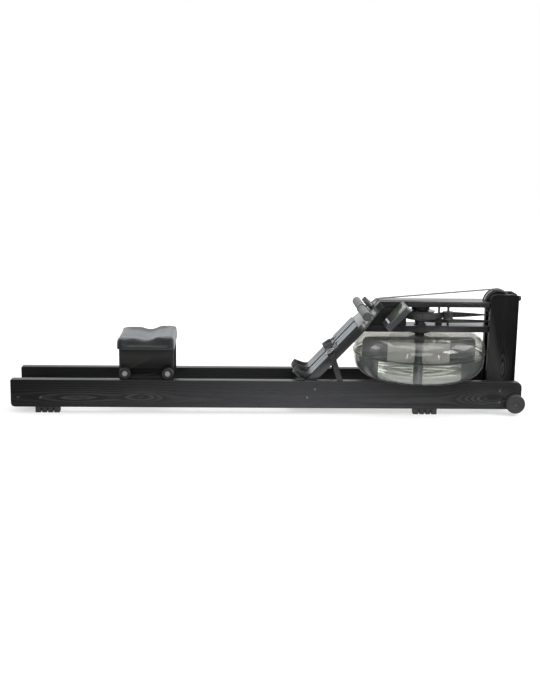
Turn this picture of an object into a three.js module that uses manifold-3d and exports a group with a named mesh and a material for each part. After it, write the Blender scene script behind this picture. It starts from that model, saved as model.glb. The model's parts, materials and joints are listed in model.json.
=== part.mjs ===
// Water rowing machine: two rails, a rolling seat, an inclined foot board and a clear water tank
// whose paddle is turned through pulleys by a strap from the handle.
// Millimetres. +X points from the seat to the tank, +Y to the rower's left, +Z up.
// The origin lies on the floor under the middle of the machine.
import * as THREE from "three";
import { mergeVertices } from "three/addons/utils/BufferGeometryUtils.js";
import Module from "manifold-3d";

const wasm = await Module();
wasm.setup();

const degree = Math.PI / 180;
const halfTurn = Math.PI;
const quarterTurn = Math.PI / 2;

// Clearances shared by all pieces
const gap = 0.3;
const runningGap = 0.5;
const wrapGap = 0.7;
const overrun = 6;
const mergeTolerance = 1e-4;

// Facets of round pieces
const tankSegments = 40;
const wheelSegments = 24;
const rodSegments = 12;
const cornerSegments = 4;
const grooveSegments = 2;

// Rails and the boards between them
const overallLength = 2100;
const wheelReach = 12;
const rail = {
  length: overallLength - wheelReach,
  height: 113,
  thickness: 38,
  outerWidth: 278,
  rearLowerRadius: 18,
  rearUpperRadius: 6,
  frontUpperRadius: 24,
  frontLowerRadius: 6,
};
const spacerGap = 0.3;
const rearSpacer = { setback: 12, length: 125, thickness: 25, height: 63.5 };
const frontSpacer = { inset: 29, thickness: 32, bottom: 40, height: 80 };
const foot = {
  length: 100,
  width: 34,
  height: 24.5,
  rearDistance: 147,
  frontDistance: 408,
  grooveWidth: 6,
  grooveDepth: 12,
  grooveRise: 18,
  cornerRadius: 5,
  lobeCount: 4,
};
const seatStop = { distance: 24, length: 34, width: 30, height: 8, slope: 6 };

// Transport wheels and what the machine leans on when stored upright
const wheel = { radius: 39, width: 24, clearance: 2, hubRadius: 17, hubDepth: 3, height: 50.5, tread: 5 };
const wheelAxle = { radius: 6, headRadius: 10, headDepth: 3 };
const bumper = {
  radius: 11,
  length: 21,
  neckRadius: 8,
  neckLength: 6,
  faceRadius: 8.8,
  edgeDepth: 2.8,
  height: 466,
};

// Posts and decks
const post = {
  rearDistance: 139,
  depth: 116,
  thickness: 30,
  outerWidth: 116,
  bottom: 38,
  top: 487.5,
  rearRadius: 25,
  frontRadius: 14,
};
const postSpacer = { depth: 16, bottom: 300, rise: 5.5 };
const topDeck = { top: 455.7, thickness: 22.9, width: 100 };
const lowerDeck = { top: 354.2, thickness: 25.8, width: 96 };

// Foot board and what is on it. Its own axes run up the slope, to the left and out of its face.
const board = {
  tankClearance: 200,
  slopeAngle: 47,
  thickness: 30,
  length: 434.7,
  railInset: 21,
  wideLength: 330,
  taperLength: 46,
  narrowWidth: 120,
  tongueClearance: 3,
  tongueLength: 108,
  cornerRadius: 12,
};
const boardSpacer = { centre: -30, length: 100, thickness: 25 };
const strut = { distance: 124, width: 24, thickness: 16, leanAngle: 18.1, inset: 3 };
const footrest = {
  inner: 10,
  sideInset: 8,
  length: 298,
  thickness: 4.6,
  cupHeight: 73,
  cupWall: 7,
  cupDepth: 34,
  cupReach: 20,
  cupInset: 1.8,
  start: 5,
  slotWidth: 16,
  slotStart: 60,
  slotEnd: 250,
  cornerRadius: 10,
  cupOuterShare: 0.9,
  cupInnerShare: 0.7,
};
const footStrap = {
  centre: 160,
  width: 44,
  thickness: 2.4,
  inner: 5.4,
  sideInset: 3.4,
  rise: 25,
  archShare: 0.6,
  steps: 14,
};
const handleRest = {
  centre: 397,
  baseLength: 24,
  baseWidth: 84,
  baseThickness: 3,
  pegRadius: 8.5,
  pegSpacing: 56,
  pegHeight: 38,
  capRadius: 3,
};

// Handle and its strap
const handle = { centre: 362, offset: 21.4, length: 400, gripRadius: 18, barRadius: 10, capDepth: 4.3 };
const webbing = { width: 28, thickness: 1.8, lift: 4, loopGap: 0.3, bendSteps: 4 };

// Tank
const tank = {
  radius: 272,
  postClearance: 4,
  wall: 4,
  lowerCorner: 75,
  upperCorner: 60,
  top: 322,
  crown: 3,
  flangeReach: 5,
  flangeThickness: 5,
  seamHeight: 242,
  sealThickness: 2,
  sealWidth: 4,
  sealInset: 1,
  neckRadius: 24,
  arcSteps: 6,
};
const bearing = { flangeRadius: 44, sleeveRadius: 20, bottom: 303 };
const shaft = { radius: 11, bottom: 144, top: 424 };
const paddle = {
  tankClearance: 34,
  bladeInner: 132,
  bladeBottom: 166,
  top: 299,
  armHeight: 14,
  thickness: 6,
  hubRadius: 15,
  hubBottom: 150,
  flareRadius: 44,
  flareHeight: 48,
  cornerRadius: 26,
  innerRadius: 8.7,
  flareSteps: 6,
};

// Drive: drum, spool, guides and pulleys
const drum = {
  radius: 57,
  flangeRadius: 61,
  flangeThickness: 2,
  bottom: 381,
  height: 28,
  spoolRadius: 20,
  spoolFlangeRadius: 26,
};
const driveStrap = { width: 24, thickness: 1.6, turnAngle: 255, runSteps: 12, wrapSteps: 20, guideSteps: 6 };
const recoilStrap = { width: 16, thickness: 1.6, turnAngle: 250, anchor: -55, runSteps: 2 };
const guide = { distance: 112, offset: -24, radius: 21, flange: 2.5, pinRadius: 5 };
const lowerGuide = { distance: 81, offset: 17, radius: 14, flange: 2.5, pinRadius: 4.5 };
const topPulley = {
  distance: 37,
  height: 449.7,
  radius: 53.5,
  flangeRadius: 56.3,
  rimWidth: 32,
  width: 39,
  webWidth: 12,
  hubRadius: 14,
  rimDepth: 7,
  clearance: 1.2,
};
const topAxle = { radius: 6, length: 96 };
const returnPulley = { distance: 62, height: 342, radius: 24 };
const bottomPulley = { distance: 70, height: 52, radius: 17 };
const smallPulley = { width: 30, rimWidth: 22, flange: 3, journalRadius: 5, journalLength: 80 };

// Seat
const seat = {
  distance: 547.5,
  length: 223,
  railClearance: 3,
  panelThickness: 18,
  panelDrop: 9.5,
  boardThickness: 20,
  cushionBottom: 268,
};
const roller = {
  radius: 23.5,
  width: 24,
  wheelbase: 173.5,
  clearance: 4.1,
  hubRadius: 12,
  hubDepth: 2,
  lip: 3,
};
const seatAxle = { radius: 6, headRadius: 9, headDepth: 3 };
const cushion = {
  length: 229,
  width: 278,
  rearHeight: 37,
  middleHeight: 31,
  frontHeight: 45,
  basin: 8,
  crown: 3,
  edgeRadius: 8,
  cornerRadius: 20,
  waist: 3,
  shoulderInset: 1,
  rimInset: 2.4,
  bulgeShare: 0.35,
  shoulderShare: 0.7,
  rimShare: 0.9,
  dipShare: 0.75,
  basinShare: 0.85,
  rimStep: 35,
  topRings: 3,
};

// Monitor, in the same slanted axes as the foot board
const monitor = {
  distance: 60.7,
  height: 408,
  side: -132,
  length: 122,
  width: 140,
  thickness: 24,
  cornerRadius: 14,
  lensLength: 62,
  lensWidth: 104,
  lensDepth: 2,
  lensStart: -7,
  lensRadius: 4.7,
};
const key = {
  length: 9,
  width: 24,
  height: 5,
  cornerRadius: 3,
  pitch: 32,
  fromCentre: -38,
  travel: 1.5,
  proud: 2.5,
};
const mount = { clearance: 2, drumClearance: 3, width: 80, pinRadius: 7, pinReach: 30, collarRadius: 13 };

// Places worked out from the sizes
const rearEnd = -overallLength / 2;
const frontEnd = overallLength / 2;
const railTop = foot.height + rail.height;
const railOuter = rail.outerWidth / 2;
const railInner = railOuter - rail.thickness;
const railMiddle = (railOuter + railInner) / 2;
const postOuter = post.outerWidth / 2;
const postInner = postOuter - post.thickness;
const postRear = frontEnd - post.rearDistance;
const tankFlange = tank.radius + tank.flangeReach;
const tankX = postRear - tank.postClearance - tankFlange;
const boardSide = railOuter - board.railInset;
const bladeOuter = tank.radius - paddle.tankClearance;
const boardFoot = new THREE.Vector3(tankX - tankFlange - board.tankClearance, 0, railTop);
const slope = board.slopeAngle * degree;
const uphill = new THREE.Vector3(Math.cos(slope), 0, Math.sin(slope));
const outward = new THREE.Vector3(-Math.sin(slope), 0, Math.cos(slope));
const boardTop = onBoard(board.length, 0, 0).x;
const rollerHeight = railTop + gap + roller.radius;
const seatX = rearEnd + seat.distance;
const seatSide = railInner - seat.railClearance;
const sides = [
  { name: "right", sign: -1 },
  { name: "left", sign: 1 },
];

// A point given in the foot board's own axes, in the machine's axes
function onBoard(along, side, out) {
  return boardFoot
    .clone()
    .addScaledVector(uphill, along)
    .addScaledVector(outward, out)
    .setY(side);
}

// Solids: closed geometries that can be cut and joined
function solidOf(geometry) {
  const loose = geometry.index ? geometry.toNonIndexed() : geometry;
  const bare = new THREE.BufferGeometry();
  bare.setAttribute("position", loose.getAttribute("position"));
  const merged = mergeVertices(bare, mergeTolerance);
  return new wasm.Manifold(
    new wasm.Mesh({
      numProp: 3,
      vertProperties: merged.getAttribute("position").array,
      triVerts: new Uint32Array(merged.index.array),
    }),
  );
}

function geometryOf(solid) {
  const mesh = solid.getMesh();
  const geometry = new THREE.BufferGeometry();
  const points = new THREE.BufferAttribute(new Float32Array(mesh.vertProperties), mesh.numProp);
  geometry.setAttribute("position", points);
  geometry.setIndex(new THREE.BufferAttribute(new Uint32Array(mesh.triVerts), 1));
  const faceted = geometry.toNonIndexed();
  faceted.computeVertexNormals();
  return faceted;
}

function cut(geometry, ...tools) {
  const rest = tools.reduce((solid, tool) => solid.subtract(solidOf(tool)), solidOf(geometry));
  return geometryOf(rest);
}

function join(geometry, ...others) {
  const whole = others.reduce((solid, other) => solid.add(solidOf(other)), solidOf(geometry));
  return geometryOf(whole);
}

// A block between two opposite corners
function block(x0, x1, y0, y1, z0, z1) {
  const geometry = new THREE.BoxGeometry(x1 - x0, y1 - y0, z1 - z0);
  return geometry.translate((x0 + x1) / 2, (y0 + y1) / 2, (z0 + z1) / 2);
}

// A rod along Y and a rod along Z, with their axis at the given place
function rodY(radius, y0, y1, x, z, segments = rodSegments) {
  const geometry = new THREE.CylinderGeometry(radius, radius, y1 - y0, segments);
  return geometry.translate(x, (y0 + y1) / 2, z);
}

function rodZ(radius, z0, z1, x, y, segments = rodSegments) {
  const geometry = new THREE.CylinderGeometry(radius, radius, z1 - z0, segments);
  return geometry.rotateX(quarterTurn).translate(x, y, (z0 + z1) / 2);
}

// A closed outline from corners that each have their own radius
function outline(corners) {
  const shape = new THREE.Shape();
  const count = corners.length;
  corners.forEach(([x, y, radius = 0], i) => {
    const here = new THREE.Vector2(x, y);
    const before = new THREE.Vector2(...corners[(i + count - 1) % count]);
    const after = new THREE.Vector2(...corners[(i + 1) % count]);
    const back = before.sub(here);
    const ahead = after.sub(here);
    const turn = Math.acos(back.clone().normalize().dot(ahead.clone().normalize()));
    const reach = radius / Math.tan(turn / 2);
    const start = here.clone().addScaledVector(back.normalize(), reach);
    const end = here.clone().addScaledVector(ahead.normalize(), reach);
    if (i === 0) shape.moveTo(start.x, start.y);
    else shape.lineTo(start.x, start.y);
    if (radius > 0) shape.quadraticCurveTo(x, y, end.x, end.y);
  });
  shape.closePath();
  return shape;
}

function rectangle(x0, x1, y0, y1, radius = 0) {
  return outline([
    [x0, y0, radius],
    [x1, y0, radius],
    [x1, y1, radius],
    [x0, y1, radius],
  ]);
}

// Plates: an outline in X and Z given thickness along Y, and one in X and Y given it along Z
function plateY(shape, y0, y1, curveSegments = cornerSegments) {
  const geometry = new THREE.ExtrudeGeometry(shape, { depth: y1 - y0, bevelEnabled: false, curveSegments });
  return geometry.rotateX(quarterTurn).translate(0, y1, 0);
}

function plateZ(shape, z0, z1, curveSegments = cornerSegments) {
  const geometry = new THREE.ExtrudeGeometry(shape, { depth: z1 - z0, bevelEnabled: false, curveSegments });
  return geometry.translate(0, 0, z0);
}

// A turned piece from a closed profile of [radius, height], about the Z axis or the Y axis
function turned(profile, segments) {
  const area = profile.reduce((sum, [r, h], i) => {
    const [nextR, nextH] = profile[(i + 1) % profile.length];
    return sum + r * nextH - nextR * h;
  }, 0);
  const ordered = area > 0 ? profile : [...profile].reverse();
  const points = ordered.map(([r, h]) => new THREE.Vector2(r, h));
  const open = ordered.findIndex(([r]) => r === 0);
  if (open < 0) points.push(points[0].clone());
  else while (points[0].x !== 0 || points[points.length - 1].x !== 0) points.push(points.shift());
  return new THREE.LatheGeometry(points, segments);
}

function turnedZ(profile, segments, x = 0, y = 0) {
  return turned(profile, segments).rotateX(quarterTurn).translate(x, y, 0);
}

function turnedY(profile, segments, x = 0, z = 0) {
  return turned(profile, segments).translate(x, 0, z);
}

// An arc of profile points from one angle to another
function arc(cx, cy, radius, from, to, steps) {
  return Array.from({ length: steps + 1 }, (_, i) => {
    const angle = (from + ((to - from) * i) / steps) * degree;
    return [cx + radius * Math.cos(angle), cy + radius * Math.sin(angle)];
  });
}

// A flat strap along stations that each give its centre, its width direction and its thickness direction
function ribbon(stations, width, thickness) {
  const points = [];
  const triangles = [];
  stations.forEach(({ centre, across, through }) => {
    [[-1, -1], [1, -1], [1, 1], [-1, 1]].forEach(([a, t]) => {
      const corner = centre
        .clone()
        .addScaledVector(across, (a * width) / 2)
        .addScaledVector(through, (t * thickness) / 2);
      points.push(corner.x, corner.y, corner.z);
    });
  });
  const quad = (a, b, c, d) => triangles.push(a, b, c, a, c, d);
  for (let i = 0; i < stations.length - 1; i++) {
    for (let j = 0; j < 4; j++) {
      const k = (j + 1) % 4;
      quad(4 * i + j, 4 * i + k, 4 * (i + 1) + k, 4 * (i + 1) + j);
    }
  }
  const last = 4 * (stations.length - 1);
  quad(3, 2, 1, 0);
  quad(last, last + 1, last + 2, last + 3);
  const geometry = new THREE.BufferGeometry();
  geometry.setAttribute("position", new THREE.BufferAttribute(new Float32Array(points), 3));
  geometry.setIndex(triangles);
  return outwardFacing(geometry);
}

// The same closed geometry with its faces pointing out
function outwardFacing(geometry) {
  if (solidOf(geometry).volume() >= 0) return geometry;
  const index = geometry.index.array;
  const turnedFaces = [];
  for (let i = 0; i < index.length; i += 3) turnedFaces.push(index[i], index[i + 2], index[i + 1]);
  geometry.setIndex(turnedFaces);
  return geometry;
}

// Materials
function finish(color, roughness, metalness = 0) {
  return new THREE.MeshStandardMaterial({ color, roughness, metalness });
}

const ash = finish(0x2b2b2c, 0.6);
const blackPlastic = finish(0x1d1d1f, 0.5);
const greyPlastic = finish(0x808688, 0.55);
const rubber = finish(0x2a2a2b, 0.85);
const steel = finish(0xa6a8aa, 0.35, 1);
const padding = finish(0x4a4b4d, 0.7);
const webbed = finish(0x262627, 0.9);
const clear = finish(0xb9bab3, 0.1);
const screen = finish(0x8c9a8a, 0.3);

const machine = new THREE.Group();
const boardGroup = new THREE.Group();
boardGroup.position.copy(boardFoot);
boardGroup.rotation.y = -slope;
machine.add(boardGroup);

function add(name, geometry, material, group = machine) {
  const mesh = new THREE.Mesh(geometry, material);
  mesh.name = name;
  group.add(mesh);
}

// Rails
function makeRails() {
  const shape = outline([
    [rearEnd, foot.height, rail.rearLowerRadius],
    [rearEnd + rail.length, foot.height, rail.frontLowerRadius],
    [rearEnd + rail.length, railTop, rail.frontUpperRadius],
    [rearEnd, railTop, rail.rearUpperRadius],
  ]);
  sides.forEach(({ name, sign }) => {
    const middle = sign * railMiddle;
    const plank = plateY(shape, middle - rail.thickness / 2, middle + rail.thickness / 2);
    add("rail_" + name, cut(plank, axleBore(rail.outerWidth)), ash);
  });
}

// The hole for the wheels' axle, as wide as what it passes through
function axleBore(width) {
  const radius = wheelAxle.radius + runningGap;
  return rodY(radius, -width, width, frontEnd - wheel.radius, wheel.height);
}

// Boards that hold the rails apart
function makeSpacers() {
  const reach = railInner - spacerGap;
  const rear = rearEnd + rearSpacer.setback;
  const half = rearSpacer.thickness / 2;
  const lying = block(
    rear,
    rear + rearSpacer.length,
    -reach,
    reach,
    rearSpacer.height - half,
    rearSpacer.height + half,
  );
  add("rear_spacer", lying, ash);
  const middle = postMiddle();
  const front = block(
    middle - frontSpacer.thickness / 2,
    middle + frontSpacer.thickness / 2,
    -reach,
    reach,
    frontSpacer.bottom,
    frontSpacer.bottom + frontSpacer.height,
  );
  add("front_spacer", front, ash);
  const start = boardSpacer.centre - boardSpacer.length / 2;
  const end = start + boardSpacer.length;
  const outer = -board.thickness - gap;
  const slanted = block(start, end, -reach, reach, outer - boardSpacer.thickness, outer);
  add("footboard_spacer", slanted, ash, boardGroup);
}

// Where the middle of the front spacer stands, ahead of the posts' rear faces
function postMiddle() {
  return postRear + frontSpacer.inset;
}

// Rubber feet with upright grooves
function makeFeet() {
  const top = foot.height - gap;
  const lobe = foot.length / foot.lobeCount;
  const places = [
    { name: "rear", x: rearEnd + foot.rearDistance },
    { name: "front", x: frontEnd - foot.frontDistance },
  ];
  const start = -foot.length / 2;
  const shape = outline([
    [start, 0, foot.cornerRadius],
    [-start, 0, foot.cornerRadius],
    [-start, top],
    [start, top],
  ]);
  places.forEach(({ name, x }) => {
    sides.forEach(({ name: side, sign }) => {
      const middle = sign * railMiddle;
      const y0 = middle - foot.width / 2;
      const y1 = middle + foot.width / 2;
      const grooves = [];
      for (let i = 1; i < foot.lobeCount; i++) {
        const centre = start + i * lobe;
        const groove = rectangle(
          centre - foot.grooveWidth / 2,
          centre + foot.grooveWidth / 2,
          -overrun,
          foot.grooveRise,
          foot.grooveWidth / 2 - gap,
        );
        grooves.push(plateY(groove, y0 - overrun, y0 + foot.grooveDepth, grooveSegments));
        grooves.push(plateY(groove, y1 - foot.grooveDepth, y1 + overrun, grooveSegments));
      }
      const geometry = cut(plateY(shape, y0, y1, grooveSegments), ...grooves);
      add("foot_" + name + "_" + side, geometry.translate(x, 0, 0), rubber);
    });
  });
}

// Blocks on the rails that stop the seat in front of the foot board
function makeSeatStops() {
  const x = boardFoot.x - seatStop.distance;
  const bottom = railTop + gap;
  const shape = outline([
    [x - seatStop.length / 2, bottom],
    [x + seatStop.length / 2, bottom],
    [x + seatStop.length / 2 - seatStop.slope, bottom + seatStop.height],
    [x - seatStop.length / 2 + seatStop.slope, bottom + seatStop.height],
  ]);
  sides.forEach(({ name, sign }) => {
    const middle = sign * railMiddle;
    add("seat_stop_" + name, plateY(shape, middle - seatStop.width / 2, middle + seatStop.width / 2), rubber);
  });
}

// Transport wheels on one axle through both rails
function makeWheels() {
  const x = frontEnd - wheel.radius;
  const inner = railOuter + wheel.clearance;
  const outer = inner + wheel.width;
  const bore = wheelAxle.radius + runningGap;
  const tread = wheel.tread;
  const profile = [
    [bore, inner],
    [wheel.radius - tread, inner],
    [wheel.radius, inner + tread],
    [wheel.radius, outer - tread],
    [wheel.radius - tread, outer],
    [wheel.hubRadius, outer],
    [wheel.hubRadius - wheel.hubDepth, outer - wheel.hubDepth],
    [bore, outer - wheel.hubDepth],
  ];
  sides.forEach(({ name, sign }) => {
    const geometry = turnedY(profile, wheelSegments);
    if (sign < 0) geometry.rotateX(halfTurn);
    add("wheel_" + name, geometry.translate(x, 0, wheel.height), rubber);
  });
  const end = outer - wheel.hubDepth + gap;
  const axle = join(
    rodY(wheelAxle.radius, -end - wheelAxle.headDepth, end + wheelAxle.headDepth, x, wheel.height),
    rodY(wheelAxle.headRadius, end, end + wheelAxle.headDepth, x, wheel.height),
    rodY(wheelAxle.headRadius, -end - wheelAxle.headDepth, -end, x, wheel.height),
  );
  add("wheel_axle", axle, steel);
}

// Posts, the block between them and its bumper
function makePosts() {
  const front = postRear + post.depth;
  const shape = outline([
    [postRear, post.bottom],
    [front, post.bottom],
    [front, post.top, post.frontRadius],
    [postRear, post.top, post.rearRadius],
  ]);
  const middle = postMiddle();
  const slotHalf = frontSpacer.thickness / 2 + gap;
  const slot = block(
    middle - slotHalf,
    middle + slotHalf,
    -post.outerWidth,
    post.outerWidth,
    post.bottom - overrun,
    frontSpacer.bottom + frontSpacer.height + gap,
  );
  const bores = [
    rodY(topAxle.radius + gap, -topAxle.length / 2 - gap, topAxle.length / 2 + gap, topX(), topPulley.height),
    journalBore(returnPulley),
    journalBore(bottomPulley),
    axleBore(post.outerWidth),
  ];
  sides.forEach(({ name, sign }) => {
    const y0 = Math.min(sign * postInner, sign * postOuter);
    add("post_" + name, cut(plateY(shape, y0, y0 + post.thickness), slot, ...bores), ash);
  });
  const blockRear = front - postSpacer.depth;
  const spacerShape = outline([
    [blockRear, postSpacer.bottom],
    [front, postSpacer.bottom],
    [front, post.top, post.frontRadius],
    [blockRear, post.top + postSpacer.rise],
  ]);
  const half = postInner - gap;
  add("post_spacer", plateY(spacerShape, -half, half), ash);
  const base = front + gap;
  const profile = [
    [0, base],
    [bumper.neckRadius, base],
    [bumper.neckRadius, base + bumper.neckLength],
    [bumper.radius, base + bumper.neckLength],
    [bumper.radius, base + bumper.length - bumper.edgeDepth],
    [bumper.faceRadius, base + bumper.length],
    [0, base + bumper.length],
  ];
  const geometry = turned(profile, rodSegments).rotateZ(-quarterTurn).translate(0, 0, bumper.height);
  add("bumper", geometry, rubber);
}

function topX() {
  return postRear + topPulley.distance;
}

function journalBore(pulley) {
  const half = smallPulley.journalLength / 2 + gap;
  const x = postRear + pulley.distance;
  return rodY(smallPulley.journalRadius + runningGap, -half, half, x, pulley.height);
}

// Decks over and under the drive, from the foot board to the posts
function makeDecks() {
  const end = postRear - gap;
  const nearEdge = board.length + gap;
  const cornerTop = slopeCut(nearEdge, topDeck.top);
  const cornerBottom = slopeCut(nearEdge, topDeck.top - topDeck.thickness);
  const topShape = outline([
    [cornerTop, topDeck.top],
    [cornerBottom, topDeck.top - topDeck.thickness],
    [end, topDeck.top - topDeck.thickness],
    [end, topDeck.top],
  ]);
  const notchHalf = topPulley.width / 2 + topPulley.clearance;
  const notch = block(
    topX() - topPulley.flangeRadius - topPulley.clearance,
    end + overrun,
    -notchHalf,
    notchHalf,
    topDeck.top - topDeck.thickness - overrun,
    topDeck.top + overrun,
  );
  const topPlate = plateY(topShape, -topDeck.width / 2, topDeck.width / 2);
  const top = cut(topPlate, notch, pinBore(guide), pinBore(lowerGuide));
  add("top_deck", top, ash);
  const lowerBottom = lowerDeck.top - lowerDeck.thickness;
  const lowerShape = outline([
    [underBoard(lowerDeck.top), lowerDeck.top],
    [underBoard(lowerBottom), lowerBottom],
    [end, lowerBottom],
    [end, lowerDeck.top],
  ]);
  const sleeve = rodZ(
    bearing.sleeveRadius + gap,
    lowerBottom - overrun,
    lowerDeck.top + overrun,
    tankX,
    0,
    wheelSegments,
  );
  const lowerPlate = plateY(lowerShape, -lowerDeck.width / 2, lowerDeck.width / 2);
  add("lower_deck", cut(lowerPlate, sleeve, pinBore(guide), pinBore(lowerGuide)), ash);
}

// X of the plane across the foot board at a distance up its slope, for a height
function slopeCut(along, z) {
  const point = onBoard(along, 0, 0);
  return point.x + (point.z - z) * Math.tan(slope);
}

// X just behind the foot board's under face, for a height
function underBoard(z) {
  const point = onBoard(0, 0, -board.thickness - gap);
  return point.x + (z - point.z) / Math.tan(slope);
}

// Holes that hold the guides' pins
function pinBore(piece) {
  const z0 = pinBottom() - gap;
  const z1 = pinTop() + gap;
  return rodZ(piece.pinRadius + runningGap, z0, z1, tankX + piece.distance, piece.offset);
}

function pinBottom() {
  return lowerDeck.top - lowerDeck.thickness / 2;
}

function pinTop() {
  return topDeck.top - topDeck.thickness / 2;
}

// Block between the decks, with the pin that the monitor tilts on
function makeMount() {
  const z0 = lowerDeck.top + gap;
  const z1 = topDeck.top - topDeck.thickness - gap;
  const half = mount.width / 2;
  const front = tankX - drum.flangeRadius - mount.drumClearance;
  const shape = outline([
    [underBoard(z0) + mount.clearance, z0],
    [front, z0],
    [front, z1],
    [underBoard(z1) + mount.clearance, z1],
  ]);
  const centre = monitorCentre();
  const inner = monitor.side + monitor.width / 2;
  const pin = rodY(mount.pinRadius, inner - mount.pinReach, -half + overrun, centre.x, centre.z);
  const collar = rodY(mount.collarRadius, inner + gap, -half + overrun, centre.x, centre.z);
  add("monitor_mount", join(plateY(shape, -half, half), pin, collar), blackPlastic);
}

// The tilt axis runs through the middle of the monitor's case
function monitorCentre() {
  return new THREE.Vector3(boardTop + monitor.distance, monitor.side, monitor.height);
}

// Foot board: wide on the rails, a tongue between them and a narrow top that meets the deck
function makeFootboard() {
  const wide = boardSide;
  const tongue = railInner - board.tongueClearance;
  const narrow = board.narrowWidth / 2;
  const shoulder = board.wideLength + board.taperLength;
  const lift = -board.thickness;
  const r = board.cornerRadius;
  const shape = outline([
    [lift, -wide],
    [board.wideLength, -wide, r],
    [shoulder, -narrow, r],
    [board.length, -narrow],
    [board.length, narrow],
    [shoulder, narrow, r],
    [board.wideLength, wide, r],
    [lift, wide],
  ]);
  const plank = plateZ(shape, -board.thickness, 0);
  const tongueBlock = block(-board.tongueLength, board.wideLength / 2, -tongue, tongue, -board.thickness, 0);
  const below = block(
    -overallLength / 2,
    overallLength / 2,
    -overallLength,
    overallLength,
    -overallLength,
    gap,
  ).applyMatrix4(new THREE.Matrix4().makeRotationY(slope));
  const geometry = join(cut(plank, below), tongueBlock);
  add("footboard", geometry, ash, boardGroup);
}

// Struts from the rails to the sides of the foot board
function makeStruts() {
  const lean = strut.leanAngle * degree;
  const start = boardFoot.x + strut.distance;
  const bottom = railTop + gap;
  const face = onBoard(0, 0, -strut.inset);
  const topOf = (x) => {
    const rise =
      (x - face.x + (face.z - bottom) / Math.tan(slope)) / (Math.tan(lean) + 1 / Math.tan(slope));
    return [x - rise * Math.tan(lean), bottom + rise];
  };
  const shape = outline([
    [start, bottom],
    [start + strut.width, bottom],
    topOf(start + strut.width),
    topOf(start),
  ]);
  const inner = boardSide + gap;
  sides.forEach(({ name, sign }) => {
    const y0 = sign > 0 ? inner : -inner - strut.thickness;
    add("strut_" + name, plateY(shape, y0, y0 + strut.thickness), ash);
  });
}

// Footrests: a slotted plate with a curved heel cup
function makeFootrests() {
  const outer = boardSide - footrest.sideInset;
  const middle = (footrest.inner + outer) / 2;
  const half = (outer - footrest.inner) / 2;
  const bottom = gap;
  const top = bottom + footrest.thickness;
  const plateShape = rectangle(0, footrest.length, -half, half, footrest.cornerRadius);
  const slot = rectangle(
    footrest.slotStart,
    footrest.slotEnd,
    -footrest.slotWidth / 2,
    footrest.slotWidth / 2,
    footrest.slotWidth / 2 - gap,
  );
  const slotCut = plateZ(slot, bottom - overrun, top + overrun);
  const cup = cupShape(half);
  sides.forEach(({ name, sign }) => {
    const plate = cut(plateZ(plateShape, bottom, top), slotCut);
    const whole = join(plate, plateZ(cup, bottom, bottom + footrest.cupHeight));
    add("footrest_" + name, whole.translate(footrest.start, sign * middle, 0), greyPlastic, boardGroup);
  });
}

// Outline of the heel cup, a bent wall seen from above the board
function cupShape(half) {
  const back = -footrest.cupReach;
  const front = back + footrest.cupDepth;
  const backInside = back + footrest.cupWall;
  const side = half - footrest.cupInset;
  const sideInside = side - footrest.cupWall;
  const bend = half * footrest.cupOuterShare;
  const bendInside = half * footrest.cupInnerShare;
  const shape = new THREE.Shape();
  shape.moveTo(front, -side);
  shape.quadraticCurveTo(back, -bend, back, 0);
  shape.quadraticCurveTo(back, bend, front, side);
  shape.lineTo(front, sideInside);
  shape.quadraticCurveTo(backInside, bendInside, backInside, 0);
  shape.quadraticCurveTo(backInside, -bendInside, front, -sideInside);
  shape.closePath();
  return shape;
}

// Straps that arch over the footrests
function makeFootStraps() {
  const outer = boardSide - footStrap.sideInset;
  const middle = (footStrap.inner + outer) / 2;
  const half = (outer - footStrap.inner) / 2;
  const bottom = gap;
  const along = new THREE.Vector3(1, 0, 0);
  sides.forEach(({ name, sign }) => {
    const stations = [];
    for (let i = 0; i <= footStrap.steps; i++) {
      const angle = (halfTurn * i) / footStrap.steps;
      const y = Math.cos(angle);
      const lift = Math.sin(angle) ** footStrap.archShare;
      const centre = new THREE.Vector3(
        footStrap.centre,
        sign * middle + half * y,
        bottom + (footStrap.rise - footStrap.thickness / 2) * lift,
      );
      stations.push({ centre, across: along });
    }
    stations.forEach((station, i) => {
      const before = stations[Math.max(i - 1, 0)].centre;
      const after = stations[Math.min(i + 1, footStrap.steps)].centre;
      const forward = after.clone().sub(before).normalize();
      const ends = i === 0 || i === footStrap.steps;
      const flat = new THREE.Vector3(0, i === 0 ? 1 : -1, 0);
      station.through = ends ? flat : new THREE.Vector3().crossVectors(along, forward);
    });
    add("foot_strap_" + name, ribbon(stations, footStrap.width, footStrap.thickness), webbed, boardGroup);
  });
}

// Two pegs on a plate, which hold the handle against the pull of its strap
function makeHandleRest() {
  const rest = handleRest;
  const bottom = gap;
  const plate = plateZ(
    rectangle(
      rest.centre - rest.baseLength / 2,
      rest.centre + rest.baseLength / 2,
      -rest.baseWidth / 2,
      rest.baseWidth / 2,
      rest.capRadius,
    ),
    bottom,
    bottom + rest.baseThickness,
  );
  const profile = [
    [0, bottom],
    [rest.pegRadius, bottom],
    [rest.pegRadius, bottom + rest.pegHeight - rest.capRadius],
    [rest.pegRadius - rest.capRadius, bottom + rest.pegHeight],
    [0, bottom + rest.pegHeight],
  ];
  const pegs = sides.map(({ sign }) =>
    turnedZ(profile, rodSegments, rest.centre, (sign * rest.pegSpacing) / 2),
  );
  add("handle_rest", join(plate, ...pegs), blackPlastic, boardGroup);
}

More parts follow.
